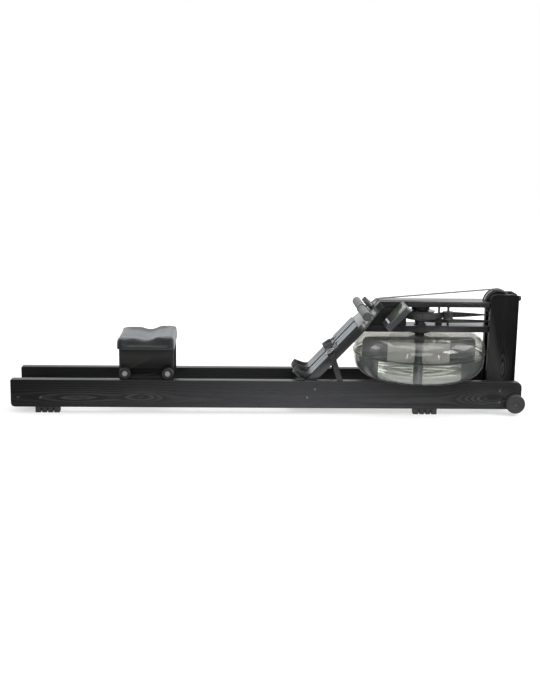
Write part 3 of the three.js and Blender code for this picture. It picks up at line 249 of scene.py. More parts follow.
def wood(name, turn, heart, figure=1.0, tone=1.0, gloss=0.2, knots=(), painted_highlight=None):
    """Black-stained ash: growth rings about a heart line along the grain, bent round knots; where
    given, a painted highlight.
    """
    material, tree, place = new_look(name)
    axis = mapped(tree, place, turn=turn)
    matrix = Matrix.Rotation(turn[1], 3, "Y") @ Matrix.Rotation(turn[2], 3, "Z")
    centre = matrix @ (Vector(heart) * MM)
    slow = mapped(tree, axis, scale=(1.7, 5, 5), move=Vector(heart) * MM * 9)
    sway = noise(tree, slow, detail=2.0, share=0.4, output="Color")
    sway = vector_of(tree, "SUBTRACT", sway, (0.5, 0.5, 0.5))
    sway = vector_of(tree, "MULTIPLY", sway, (0, 0.080 * figure, 0.065 * figure))
    rings_at = vector_of(tree, "ADD", vector_of(tree, "SUBTRACT", axis, centre), sway)
    radius = length_of(tree, vector_of(tree, "MULTIPLY", rings_at, (0, 1, 1)))
    loud = core = 0.0
    for spot, along, wide, lift, dusk in knots:
        bulge = bell(tree, axis, matrix @ (Vector(spot) * MM), (along, 0, wide))
        radius = plus(tree, radius, times(tree, bulge, lift * MM))
        loud = math_of(tree, "MAXIMUM", bulge, loud)
        inner = times(tree, spread(tree, bulge, 0.72, 0.95), dusk)
        core = math_of(tree, "MAXIMUM", inner, core)
    outside = minus(tree, 1.0, core)
    fuzz = noise(tree, mapped(tree, axis, scale=(30, 300, 300)), detail=3)
    ring = math_of(tree, "DIVIDE", radius, RING_STEP * MM)
    ring = math_of(tree, "FRACT", plus(tree, ring, times(tree, fuzz, 0.35)))
    rise = math_of(tree, "POWER", spread(tree, ring, 0.1, 0.8), 1.6)
    fall = spread(tree, ring, 0.86, 0.99, 1, 0)
    band = times(tree, rise, fall)
    vary = noise(tree, mapped(tree, axis, scale=(3, 9, 9)), detail=2)
    vary = spread(tree, vary, 0.3, 0.7, 0.45, 1)
    band = times(tree, band, math_of(tree, "MAXIMUM", vary, loud))
    fibre = noise(tree, mapped(tree, axis, scale=(11, 820, 820)), detail=4, share=0.6)
    pore = noise(tree, mapped(tree, axis, scale=(26, 1500, 1500)), detail=2)
    pore = spread(tree, pore, 0.56, 0.66)
    depth = plus(tree, 0.78, times(tree, loud, 0.7))
    light = plus(tree, times(tree, band, depth), times(tree, fibre, 0.22))
    low, high = ((*(tone * level for level in end), 1) for end in (WOOD_DARK, WOOD_LIGHT))
    colour = mixed(tree, times(tree, light, outside), low, high)
    line = times(tree, times(tree, times(tree, band, loud), 0.75), outside)
    colour = mixed(tree, line, colour, KNOT_LINE)
    # Painted highlight: a paler patch mixed into the colour, standing in for reflected light.
    if painted_highlight:
        spot, reach, highlight_strength = painted_highlight
        near = bell(tree, axis, matrix @ (Vector(spot) * MM), (reach, 0, 0))
        colour = mixed(tree, times(tree, near, highlight_strength), colour, WOOD_PAINTED_HIGHLIGHT)
    colour = mixed(tree, times(tree, pore, 0.5), colour, WOOD_PORE)
    colour = mixed(tree, times(tree, edge_wear(tree), 0.5), colour, WOOD_WORN)
    rough = plus(tree, minus(tree, 0.42, times(tree, band, 0.14)), times(tree, pore, 0.1))
    height = plus(tree, times(tree, band, 0.5), fibre)
    height = minus(tree, height, times(tree, pore, 0.9))
    feed(material, Base_Color=colour, Roughness=rough, Normal=bumped(tree, height, 0.07, 0.6),
         IOR=1.54, Specular_IOR_Level=0.5 * min(tone, 1))
    varnish(material, gloss, 0.22)
    return material


def moulded(name, level, rough, grain_mm=0.5, depth_mm=0.03, warmth=0.0, wear=0.35, coat=0.0):
    """Moulded or cast surface: fine grain, faint mottling and lighter worn edges."""
    material, tree, place = new_look(name)
    mottle = noise(tree, place, scale=22, detail=4)
    grain = noise(tree, place, scale=1 / (grain_mm * MM), detail=2)
    colour = mixed(tree, mottle, grey(level * 0.8, warmth), grey(level * 1.2, warmth))
    worn = times(tree, edge_wear(tree), wear)
    colour = mixed(tree, worn, colour, grey(min(level * 2.5 + 0.02, 0.9), warmth))
    rough = spread(tree, mottle, 0.3, 0.7, rough - 0.05, rough + 0.05)
    feed(material, Base_Color=colour, Roughness=plus(tree, rough, times(tree, grain, 0.04)),
         Normal=bumped(tree, grain, depth_mm, 0.6))
    varnish(material, coat, 0.15)
    return material


def bands(tree, axis, scale, distortion, direction):
    """Even bands across one axis, a little bent."""
    values = {"Vector": axis, "Scale": scale, "Distortion": distortion, "Detail": 1.0}
    wave = put(tree, "TexWave", values, wave_type="BANDS", bands_direction=direction)
    return wave.outputs["Fac"]


def webbing(name, turn, level=0.02, pitch_mm=1.6):
    """Woven strap: ribs along and picks across."""
    material, tree, place = new_look(name)
    axis = mapped(tree, place, turn=turn)
    rib = bands(tree, axis, 314 / pitch_mm, 0.6, "Y")
    pick = bands(tree, axis, 200 / pitch_mm, 0.8, "X")
    weave = times(tree, rib, spread(tree, pick, 0, 1, 0.45, 1))
    mottle = noise(tree, place, scale=60, detail=3)
    share = plus(tree, times(tree, weave, 0.6), times(tree, mottle, 0.4))
    colour = mixed(tree, share, grey(level * 0.5), grey(level * 1.9))
    rough = spread(tree, mottle, 0.3, 0.7, 0.62, 0.8)
    feed(material, Base_Color=colour, Roughness=rough, Normal=bumped(tree, weave, 0.25, 0.8),
         Sheen_Weight=0.15)
    return material


LEATHER_DARK = (0.017, 0.020, 0.023, 1)
LEATHER_LIGHT = (0.028, 0.032, 0.036, 1)
LEATHER_WORN = (0.07, 0.072, 0.075, 1)


def leather(name):
    """Seat cover: pebbled grain and a soft sheen, rubbed lighter on its edges."""
    material, tree, place = new_look(name)
    cells = put(tree, "TexVoronoi", {"Vector": place, "Scale": 700.0}, feature="SMOOTH_F1")
    folds = noise(tree, place, scale=900, detail=3)
    mottle = noise(tree, place, scale=14, detail=4)
    pebble = plus(tree, cells.outputs["Distance"], times(tree, folds, 0.4))
    colour = mixed(tree, mottle, LEATHER_DARK, LEATHER_LIGHT)
    colour = mixed(tree, times(tree, edge_wear(tree), 0.25), colour, LEATHER_WORN)
    rough = spread(tree, mottle, 0.3, 0.7, 0.34, 0.42)
    feed(material, Base_Color=colour, Roughness=rough, Normal=bumped(tree, pebble, 0.06, 0.4))
    varnish(material, 0.34, 0.26)
    soften(material, 0.11, (0.70, 0.85, 1.0, 1))
    return material


def brushed(name, level=0.55):
    """Turned steel: fine rings of roughness and a little dullness."""
    material, tree, place = new_look(name)
    lines = noise(tree, mapped(tree, place, scale=(900, 60, 900)), detail=3)
    dull = noise(tree, place, scale=40, detail=3)
    colour = mixed(tree, dull, grey(level * 0.85), grey(level * 1.1))
    rough = spread(tree, lines, 0.25, 0.75, 0.22, 0.38)
    feed(material, Base_Color=colour, Roughness=rough, Normal=bumped(tree, lines, 0.02, 0.4),
         Metallic=1.0)
    return material


TANK_TINT = (0.925, 0.918, 0.900, 1)
TANK_EDGE_TINT = (0.60, 0.60, 0.58, 1)


def smoked(name):
    """Clear smoky wall: see-through by its tint, darker and glossier where it is seen edge on."""
    material, tree, place = new_look(name)
    tree.nodes.remove(shader_of(tree))
    facing = put(tree, "LayerWeight", {"Blend": 0.5}).outputs["Facing"]
    rim = math_of(tree, "POWER", facing, 3.0)
    scuff = noise(tree, place, scale=35, detail=3)
    colour = mixed(tree, rim, TANK_TINT, TANK_EDGE_TINT)
    colour = mixed(tree, spread(tree, scuff, 0.35, 0.75, 0, 0.12), colour, TANK_EDGE_TINT)
    clear = put(tree, "BsdfTransparent", {"Color": colour}).outputs[0]
    ripple = bumped(tree, noise(tree, place, scale=9, detail=2), 1.2, 0.25)
    rough = spread(tree, scuff, 0.3, 0.8, 0.04, 0.1)
    values = {"Color": grey(1.0), "Normal": ripple, "Roughness": rough}
    gloss = put(tree, "BsdfAnisotropic", values).outputs[0]
    share = plus(tree, times(tree, math_of(tree, "POWER", facing, 5.0), 0.75), 0.035)
    show(tree, put(tree, "MixShader", {0: share, 1: clear, 2: gloss}).outputs[0])
    return material


WATER_DARK = (0.41, 0.455, 0.45, 1)
WATER_LIGHT = (0.51, 0.565, 0.56, 1)
WATER_CLEAR = (0.95, 0.96, 0.955, 1)


def still_water(name):
    """Refracts what is seen through it, and lets lamp light and soft light straight in."""
    material, tree, place = new_look(name)
    colour = mixed(tree, noise(tree, place, scale=6, detail=2), WATER_DARK, WATER_LIGHT)
    ripple = bumped(tree, noise(tree, place, scale=9, detail=1), 0.3, 0.06)
    feed(material, Base_Color=colour, Normal=ripple, Transmission_Weight=1.0, IOR=1.33,
         Roughness=0.0)
    path = put(tree, "LightPath").outputs
    soft = math_of(tree, "MAXIMUM", path["Is Shadow Ray"], path["Is Diffuse Ray"])
    clear = put(tree, "BsdfTransparent", {"Color": WATER_CLEAR}).outputs[0]
    water = shader_of(tree).outputs[0]
    show(tree, put(tree, "MixShader", {0: soft, 1: water, 2: clear}).outputs[0])
    return material


SCREEN_DARK = (0.085, 0.105, 0.07, 1)
SCREEN_LIGHT = (0.14, 0.165, 0.12, 1)


def display(name):
    """Bare liquid-crystal glass over a grey-green ground."""
    material, tree, place = new_look(name)
    fine = noise(tree, place, scale=1800, detail=1)
    broad = noise(tree, place, scale=18, detail=2)
    share = plus(tree, times(tree, fine, 0.3), times(tree, broad, 0.7))
    colour = mixed(tree, share, SCREEN_DARK, SCREEN_LIGHT)
    rough = spread(tree, broad, 0.3, 0.7, 0.12, 0.2)
    feed(material, Base_Color=colour, Roughness=rough, Normal=bumped(tree, broad, 0.05, 0.2),
         Coat_Weight=0.6)
    return material


ACROSS_SLOPE = (0, SLOPE, -math.pi / 2)
BLACK_PLASTIC = moulded("black_plastic", 0.014, 0.36, grain_mm=0.6)
GLOSS_PLASTIC = moulded("gloss_plastic", 0.052, 0.20, grain_mm=0.8, depth_mm=0.01, warmth=-0.03,
                        coat=0.5)
GREY_PLASTIC = moulded("grey_plastic", 0.032, 0.26, grain_mm=0.7, depth_mm=0.006, warmth=-0.10,
                       coat=0.14)
soften(GREY_PLASTIC, 0.28, (0.74, 0.88, 1.0, 1))
CUP_PLASTIC = moulded("cup_plastic", 0.028, 0.40, grain_mm=0.7, warmth=-0.04)
PADDLE_PLASTIC = moulded("paddle_plastic", 0.30, 0.36, grain_mm=1.0, warmth=-0.06)
CASE_PLASTIC = moulded("case_plastic", 0.055, 0.26, grain_mm=0.6, depth_mm=0.006, warmth=-0.04,
                       coat=0.4)
BUCKLE_PLASTIC = moulded("buckle_plastic", 0.42, 0.3)
KEY_RUBBER = moulded("key_rubber", 0.62, 0.4)
RUBBER = moulded("rubber", 0.016, 0.62, grain_mm=0.9, depth_mm=0.06)
WHEEL_RUBBER = moulded("wheel_rubber", 0.048, 0.46, grain_mm=0.9, depth_mm=0.05, warmth=-0.03)
ROLLER_RUBBER = moulded("roller_rubber", 0.028, 0.5, grain_mm=0.9, depth_mm=0.05)
FOOT_RUBBER = moulded("foot_rubber", 0.040, 0.6, grain_mm=0.9, depth_mm=0.06)
GRIP_FOAM = moulded("grip_foam", 0.19, 0.68, grain_mm=0.8, depth_mm=0.12, warmth=-0.03, wear=0.1)
GRIP_CAP = moulded("grip_cap", 0.075, 0.6, grain_mm=0.8, depth_mm=0.08)
HUB_PLASTIC = moulded("hub_plastic", 0.31, 0.4, grain_mm=0.6)
STEEL = brushed("steel")
DARK_STEEL = brushed("dark_steel", 0.16)
BOLT_STEEL = brushed("bolt_steel", 0.22)
SEAT_COVER = leather("seat_cover")
STRAP_ALONG = webbing("strap_along", GRAIN_X, 0.045)
varnish(STRAP_ALONG, 0.3, 0.28)
FOOT_STRAP = webbing("foot_strap", ACROSS_SLOPE, 0.017, 1.9)
soften(FOOT_STRAP, 0.05, (0.8, 0.9, 1.0, 1))
TAIL_STRAP = webbing("tail_strap", ACROSS_SLOPE, 0.014, 1.9)
TANK_WALL = smoked("tank_wall")
WATER = still_water("water")
SCREEN = display("screen")


# Mesh tools

SHARP_DEGREES = 32
BEVEL_DEGREES = 38
WELD = 2e-5
FLAT_DEGREES = 0.6


def place_object(name, data):
    ob = bpy.data.objects.new(name, data)
    bpy.context.scene.collection.objects.link(ob)
    return ob


def baked(ob):
    """The object's mesh, with its modifiers or its curve's thickness in it."""
    bpy.context.view_layer.update()
    ready = ob.evaluated_get(bpy.context.evaluated_depsgraph_get())
    return bpy.data.meshes.new_from_object(ready)


def applied(ob):
    """Applies the object's modifiers to its mesh."""
    mesh = baked(ob)
    ob.modifiers.clear()
    ob.data = mesh
    return ob


def from_curve(name, data):
    """The mesh of a curve."""
    curve = place_object(name + "_curve", data)
    mesh = baked(curve)
    bpy.data.objects.remove(curve)
    return mesh


@contextmanager
def edited(mesh):
    """Opens a mesh for bmesh edits, and writes them back."""
    work = bmesh.new()
    work.from_mesh(mesh)
    yield work
    work.to_mesh(mesh)
    work.free()


def shade(ob, sharp_degrees=SHARP_DEGREES):
    for face in ob.data.polygons:
        face.use_smooth = True
    ob.data.set_sharp_from_angle(angle=math.radians(sharp_degrees))
    return ob


def bevelled(ob, width_mm, segments=3):
    if width_mm:
        bevel = ob.modifiers.new("bevel", "BEVEL")
        bevel.width = width_mm * MM
        bevel.segments = segments
        bevel.limit_method = "ANGLE"
        bevel.angle_limit = math.radians(BEVEL_DEGREES)
        applied(ob)
    return shade(ob)


def from_points(name, points, faces):
    mesh = bpy.data.meshes.new(name)
    mesh.from_pydata([Vector(p) * MM for p in points], [], faces)
    with edited(mesh) as work:
        bmesh.ops.remove_doubles(work, verts=work.verts, dist=1e-6)
        bmesh.ops.recalc_face_normals(work, faces=work.faces)
    return place_object(name, mesh)


def skin(count, rings, looped=False, closed=True):
    """Faces between rings of count points; looped joins the last ring to the first one."""
    faces = []
    for ring in range(rings if looped else rings - 1):
        near, far = ring * count, (ring + 1) % rings * count
        for k in range(count if closed else count - 1):
            n = (k + 1) % count
            faces.append((near + k, near + n, far + n, far + k))
    return faces


def tube(name, points, count):
    """A closed body through rings of count points, flat at both ends."""
    total = len(points)
    ends = [tuple(range(count)), tuple(range(total - count, total))]
    return from_points(name, points, skin(count, total // count) + ends)


def lathe(name, profile, centre, axis="z", segments=96, bevel=0.0, closed=True):
    """Turns an outline of (radius, height) about the Y or Z axis through centre."""
    points = []
    for step in range(segments):
        angle = 2 * math.pi * step / segments
        for radius, height in profile:
            a, b = radius * math.cos(angle), radius * math.sin(angle)
            local = (b, height, a) if axis == "y" else (a, b, height)
            points.append(Vector(centre) + Vector(local))
    faces = skin(len(profile), segments, looped=True, closed=closed)
    return bevelled(from_points(name, points, faces), bevel)


def extruded(name, outline, near, far):
    """A prism of an (x, z) outline between two values of y."""
    return tube(name, [(x, y, z) for y in (near, far) for x, z in outline], len(outline))


def wire(name, points, radius, cyclic=False):
    """A round wire through points."""
    data = bpy.data.curves.new(name, "CURVE")
    data.dimensions = "3D"
    data.bevel_depth = radius * MM
    data.bevel_resolution = 4
    data.resolution_u = 8
    spline = data.splines.new("BEZIER")
    spline.bezier_points.add(len(points) - 1)
    for handle, point in zip(spline.bezier_points, points):
        handle.co = Vector(point) * MM
        handle.handle_left_type = handle.handle_right_type = "AUTO"
    spline.use_cyclic_u = cyclic
    data.use_fill_caps = True
    return shade(place_object(name, from_curve(name, data)))


def arc(centre, radius, start, end, steps):
    """Points of an outline's round corner, in degrees."""
    angles = [math.radians(start + (end - start) * k / steps) for k in range(steps + 1)]
    return [(centre[0] + radius * math.cos(a), centre[1] + radius * math.sin(a)) for a in angles]


def held(value, low=0, high=1):
    return min(max(value, low), high)


def eased(value, start, end):
    """Rises smoothly from 0 at start to 1 at end."""
    t = held((value - start) / (end - start))
    return t * t * (3 - 2 * t)


def on_board(u, y, n):
    """Place u uphill, y across and n out from the foot board's face."""
    return BOARD_FOOT + u * UPHILL + n * OUTWARD + Vector((0, y, 0))


def stood_on_board(mesh, u, y, n):
    """Turns a mesh made about the origin so that its Z stands out from the foot board."""
    turn = Matrix((UPHILL, (0, 1, 0), OUTWARD)).transposed().to_4x4()
    mesh.transform(Matrix.Translation(on_board(u, y, n) * MM) @ turn)


def home(node):
    """The body that carries a CAD node."""
    parent = frame["nodes"][node].parent
    return next(name for name, empty in frame["bodies"].items() if empty == parent)


def copy_of(node):
    """The node's mesh as a new object, welded, with flat faces joined up."""
    source = frame["nodes"][node]
    mesh = source.data.copy()
    mesh.transform(source.matrix_world)
    with edited(mesh) as work:
        bmesh.ops.remove_doubles(work, verts=work.verts, dist=WELD)
        bmesh.ops.dissolve_limit(work, angle_limit=math.radians(FLAT_DEGREES), verts=work.verts,
                                 edges=work.edges)
    mesh.materials.clear()
    return place_object(node + "_skin", mesh)


def dress(ob, body, material, slot, *nodes):
    """Gives a piece its finish and its body, and puts it in place of CAD nodes."""
    ob.data.materials.clear()
    ob.data.materials.append(material)
    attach(ob, body)
    if nodes:
        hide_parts(*nodes)
    return ob


def rounded(node, material, slot, width=1.2):
    """Puts a softened copy of a CAD node in its place."""
    return dress(bevelled(copy_of(node), width), home(node), material, slot, node)


# Wood

# Node, grain, place of the heart, sway of the grain, edge radius, tone, gloss and any knots, each
# with its place, its reach along and across the grain, the rings' lift and how dark its middle is.
WOOD = [
    ("rail_right", GRAIN_X, (0, -104, 60), 0.30, 2.2, 0.7, 0.1,
     ((-520, 0, 70), 74, 23, -24, 0.6), ((-770, 0, 64), 170, 27, -21, 0.55),
     ((922, 0, 74), 112, 38, -56, 0.9)),
    ("rail_left", GRAIN_X, (0, 108, 60), 0.35, 1.6, 0.8, 0.05, ((300, 0, 80), 95, 30, -34, 0.3)),
    ("rear_spacer", GRAIN_Y, (-975, 0, 40), 0.6, 1.2, 0.8, 0.2),
    ("front_spacer", GRAIN_Y, (940, 0, 60), 0.6, 1.2, 0.8, 0.2),
    ("footboard_spacer", GRAIN_Y, (160, 0, 80), 0.6, 1.2, 0.8, 0.2),
    ("post_right", GRAIN_Z, (972, -38, 0), 0.6, 2.0, 0.2, 0.0, ((975, 0, 170), 70, 26, -30, 0.3)),
    ("post_left", GRAIN_Z, (960, 40, 0), 0.6, 2.0, 0.2, 0.0, ((960, 0, 330), 70, 26, -30, 0.3)),
    ("post_spacer", GRAIN_Z, (1030, 0, 0), 0.6, 1.0, 0.65, 0.2),
    ("top_deck", GRAIN_X, (0, 8, 440), 0.6, 1.6, 1.0, 0.75),
    ("lower_deck", GRAIN_X, (0, -6, 338), 0.6, 1.6, 0.7, 0.75),
    ("strut_right", GRAIN_SLOPE, (270, -122, 190), 0.4, 1.2, 1.5, 0.2),
    ("strut_left", GRAIN_SLOPE, (270, 122, 190), 0.4, 1.2, 1.5, 0.2),
    ("seat_frame", GRAIN_X, (0, -70, 205), 0.8, 1.6, 0.28, 0.0),
]
# Painted highlight: where a piece is painted paler, standing in for the light it reflects along its
# middle: the place, its reach along the grain and its strength.
PAINTED_HIGHLIGHT = {"rail_right": ((130, 0, 70), 480, 0.8)}
for node, turn, heart, figure, width, tone, gloss, *knots in WOOD:
    material = wood("wood_" + node, turn, heart, figure, tone, gloss, knots, PAINTED_HIGHLIGHT.get(node))
    rounded(node, material, "stained_wood", width)


# The foot board's breadth, and the places uphill of its straight cut and of its curved neck
BOARD_HALF = 118
NECK_HALF = 60
CUT_START, CUT_END = 330, 376
NECK_START, NECK_END = 292, 416
NECK_BEND = 30
NECK_STEPS = 30
BOARD_SHEEN = (0.74, 0.86, 1.0, 1)


def narrowed(u):
    """Share of the neck's draw-in at a place uphill: a straight run with a bend at each end."""
    length = NECK_END - NECK_START
    full = length - NECK_BEND
    into = held(u - NECK_START, 0, length)
    if into < NECK_BEND:
        return into * into / (2 * NECK_BEND) / full
    if into > length - NECK_BEND:
        left = length - into
        return 1 - left * left / (2 * NECK_BEND) / full
    return (into - NECK_BEND / 2) / full


def shaped_board():
    """The foot board, its shoulders drawn in to the neck by a smooth curve."""
    ob = copy_of("footboard")
    with edited(ob.data) as work:
        for k in range(NECK_STEPS + 1):
            u = NECK_START + (NECK_END - NECK_START) * k / NECK_STEPS
            everything = work.verts[:] + work.edges[:] + work.faces[:]
            bmesh.ops.bisect_plane(work, geom=everything, dist=1e-6,
                                   plane_co=on_board(u, 0, 0) * MM, plane_no=UPHILL)
        for vertex in work.verts:
            u = (vertex.co / MM - BOARD_FOOT).dot(UPHILL)
            cut = held((u - CUT_START) / (CUT_END - CUT_START))
            was = BOARD_HALF + (NECK_HALF - BOARD_HALF) * cut
            now = BOARD_HALF + (NECK_HALF - BOARD_HALF) * narrowed(u)
            vertex.co.y *= now / was
    material = wood("wood_footboard", GRAIN_SLOPE, (280, 10, 250), 0.7, 1.1, 1.0)
    soften(material, 0.1, BOARD_SHEEN)
    dress(bevelled(ob, 1.8), "frame", material, "stained_wood", "footboard")


shaped_board()


# Rubber and plastic

FOOT_LENGTH = 98
FOOT_TOP = 24.2
FOOT_STEP = 24.5
SLIT_WIDTH = 4.2
HOLE_RADIUS = 4.4
HOLE_HEIGHT = 15.5
FOOT_CORNER = 3
CORE_FLOOR = 9.5
CORE_TOP = 21
CORE_INSET = 6
FOOT_ENDS = (("rear", -903), ("front", 642))
FOOT_NEAR = 103
FOOT_FAR = 137


def foot_outline(middle):
    """Four blocks on one strip, parted by slits that open into a round hole at the top."""
    half = FOOT_LENGTH / 2
    line = [(middle - half, FOOT_TOP)]
    for k in range(4):
        left = middle - half + k * FOOT_STEP + (SLIT_WIDTH / 2 if k else 0)
        right = middle - half + (k + 1) * FOOT_STEP - (SLIT_WIDTH / 2 if k < 3 else 0)
        c = FOOT_CORNER
        line += arc((left + c, c), c, 180, 270, 5) + arc((right - c, c), c, 270, 360, 5)
        if k < 3:
            mouth = math.degrees(math.asin(SLIT_WIDTH / 2 / HOLE_RADIUS))
            centre = (right + SLIT_WIDTH / 2, HOLE_HEIGHT)
            line += arc(centre, HOLE_RADIUS, 270 - mouth, mouth - 90, 16)
    return line + [(middle + half, FOOT_TOP)]


for side, sign in SIDES:
    for end, x in FOOT_ENDS:
        node = "foot_" + end + "_" + side
        near, far = sorted((sign * FOOT_NEAR, sign * FOOT_FAR))
        foot = extruded(node + "_rubber", foot_outline(x), near, far)
        dress(bevelled(foot, 0.9), "frame", FOOT_RUBBER, "rubber", node)
        left, right = x - FOOT_LENGTH / 2 + CORE_INSET, x + FOOT_LENGTH / 2 - CORE_INSET
        core = [(left, CORE_FLOOR), (right, CORE_FLOOR), (right, CORE_TOP), (left, CORE_TOP)]
        core = extruded(node + "_core", core, near + CORE_INSET, far - CORE_INSET)
        dress(bevelled(core, 0.5), "frame", RUBBER, "rubber")
    rounded("seat_stop_" + side, RUBBER, "rubber", 1.5)
rounded("bumper", RUBBER, "rubber", 1.5)
rounded("handle_rest", BLACK_PLASTIC, "black_plastic", 0.8)

# Outlines to be turned are points of (radius, distance along the axis).
PEG_PLACE = (397, 28)
PEG_OUTLINE = [(8.6, 5), (10.2, 5), (10.9, 6), (10.9, 40.5), (10.2, 42), (8.8, 42), (8.2, 41),
               (8.0, 38.2), (8.6, 38.1)]
for side, sign in SIDES:
    sleeve = lathe("peg_sleeve_" + side, PEG_OUTLINE, (0, 0, 0), "z", 64)
    stood_on_board(sleeve.data, PEG_PLACE[0], sign * PEG_PLACE[1], 0)
    dress(sleeve, "frame", GLOSS_PLASTIC, "black_plastic")
BEARING_OUTLINE = [(12.4, 413.4), (34.5, 413.4), (37.5, 416.4), (37.5, 432.5), (12.4, 432.5)]
bearing = lathe("upper_bearing", BEARING_OUTLINE, TANK_AXIS, bevel=0.6)
dress(bearing, "frame", BLACK_PLASTIC, "black_plastic")
rounded("monitor_mount", BLACK_PLASTIC, "black_plastic", 1.5)
rounded("shaft_bearing", BLACK_PLASTIC, "black_plastic", 0.8)
rounded("top_axle", DARK_STEEL, "steel", 0.8)
rounded("paddle_shaft", STEEL, "steel", 0.5)
for node in ("drive_pulley", "guide_pulley", "lower_guide_pulley", "top_pulley", "return_pulley",
             "bottom_pulley"):
    rounded(node, GLOSS_PLASTIC, "black_plastic", 0.5)


# Tank, water and paddle

for half in ("tank_lower", "tank_upper"):
    rounded(half, TANK_WALL, "tank", 0.0)
rounded("tank_seal", RUBBER, "rubber", 0.0)
rounded("paddle", PADDLE_PLASTIC, "grey_plastic", 1.2)

WATER_LEVEL = 234
WATER_RADIUS = 267.6
WATER_FLOOR = 142.3
WATER_CORNER = 71
FLAT_RADIUS = WATER_RADIUS - WATER_CORNER
corner_centre = (FLAT_RADIUS, WATER_FLOOR + WATER_CORNER)
water_outline = [(0, WATER_FLOOR), *arc(corner_centre, WATER_CORNER, -90, 0, 16),
                 (WATER_RADIUS, WATER_LEVEL), (0, WATER_LEVEL)]
water = lathe("water_fill", water_outline, TANK_AXIS, segments=192)
dress(water, "frame", WATER, "tank")

CONE_RADIUS = 128
CONE_NECK = 16
CONE_TOP = 299.6
CONE_DEPTH = 68
cone_line = [(CONE_RADIUS - (CONE_RADIUS - CONE_NECK) * math.sin(t),
              CONE_TOP - CONE_DEPTH * (1 - math.cos(t)))
             for t in (math.pi / 2 * k / 20 for k in range(21))]
cone = lathe("paddle_cone", cone_line, TANK_AXIS, segments=128, closed=False)
dress(cone, "paddle", TANK_WALL, "tank")


# Wheels and rollers

WHEEL_PLACE = (1011, 141, 50.5)
ROLLER_ENDS = (("rear", -589.25), ("front", -415.75))
ROLLER_FACE = 102.1
ROLLER_HEIGHT = 161.3
WHEEL_OUTLINE = [
    (10.4, 0), (36.5, 0), (39, 2.5), (39, 21.5), (36.8, 24), (34, 24), (33.4, 23), (32.2, 23),
    (31.6, 24), (25, 24), (24.4, 23.2), (23.4, 23.2), (22.8, 24), (17, 24), (15.8, 22.6),
    (12.2, 22.6), (11.6, 23.6), (10.4, 23.6),
]
ROLLER_OUTLINE = [
    (9.6, 0), (21.5, 0), (23.5, 2), (23.5, 22), (21.6, 24), (19.8, 24), (19.2, 23), (17.6, 23),
    (17, 24), (13.4, 24), (12.9, 22), (9.6, 22),
]
HUB_OUTLINE = [(9.7, 21.6), (11.4, 21.6), (11.4, 24.3), (10.7, 24.9), (9.7, 24.9)]


def turned(name, outline, place, sign, bevel=0.4):
    """A lathe piece on the Y axis, its outline running outwards on its own side."""
    x, y, z = place
    shape = [(r, sign * (y + h)) for r, h in outline]
    return lathe(name, shape, (x, 0, z), "y", 128, bevel)


for side, sign in SIDES:
    wheel = "wheel_" + side
    tyre = turned(wheel + "_tyre", WHEEL_OUTLINE, WHEEL_PLACE, sign)
    dress(tyre, wheel, WHEEL_RUBBER, "rubber", wheel)
    for end, x in ROLLER_ENDS:
        node = "roller_" + end + "_" + side
        place = (x, ROLLER_FACE, ROLLER_HEIGHT)
        tyre = turned(node + "_tyre", ROLLER_OUTLINE, place, sign)
        dress(tyre, node, ROLLER_RUBBER, "rubber", node)
        hub = turned(node + "_hub", HUB_OUTLINE, place, sign, 0.3)
        dress(hub, node, HUB_PLASTIC, "rubber")
rounded("wheel_axle", DARK_STEEL, "steel", 1.2)
for end in ("rear", "front"):
    rounded("seat_axle_" + end, HUB_PLASTIC, "steel", 1.6)


# Seat cushion

SEAT_MIDDLE = Vector((-504, 0, 268))
SEAT_LENGTH = 237
SEAT_WIDTH = 278
SEAT_TOP = 49
SEAT_LIP = 4.6
SEAT_CORNER = 24
SEAT_RIM = 6
SEAT_SLOPE = 1.6
SEAT_WAIST = 1.2
BACK_HEIGHT = 40.5
DIP_DEPTH = 8
FRONT_RISE = 14
BASIN_DEPTH = 8
BASIN_INSETS = (12, 18, 26, 36, 48, 62, 78, 94, 108)
VOXEL = 4.0
SWELL_LIMIT = 3.0
PRESSURE = 4
SETTLE_FRAMES = 20


def cover_height(x, y):
    """Height of the seat's top: a rear step, a dip, a higher front step, and a basin inside."""
    dip = BACK_HEIGHT - DIP_DEPTH * eased(x, -44, 6)
    rise = FRONT_RISE * eased(x, 8, 60) + eased(x, 60, 105)
    basin = eased(abs(y), 128, 78) * eased(x, -112, -62) * eased(x, 112, 62)
    return dip + rise - BASIN_DEPTH * basin


def seat_ring(inset):
    """Rounded oblong, pulled in a little between its corners."""
    half_x, half_y = SEAT_LENGTH / 2 - inset, SEAT_WIDTH / 2 - inset
    corner = min(max(SEAT_CORNER - inset / 2, 8), half_x * 0.9, half_y * 0.9)
    line = []
    for start, sx, sy in ((0, 1, 1), (90, -1, 1), (180, -1, -1), (270, 1, -1)):
        centre = (sx * (half_x - corner), sy * (half_y - corner))
        line += arc(centre, corner, start, start + 90, 8)
    ready = []
    for k, (x, y) in enumerate(line):
        after = line[(k + 1) % len(line)]
        steps = 12 if k % 9 == 8 else 1
        for step in range(steps):
            share = step / steps
            px, py = x + (after[0] - x) * share, y + (after[1] - y) * share
            px *= 1 - SEAT_WAIST / half_x * (1 - min(abs(py) / half_y, 1) ** 2)
            py *= 1 - SEAT_WAIST / half_y * (1 - min(abs(px) / half_x, 1) ** 2)
            ready.append((px, py))
    return ready


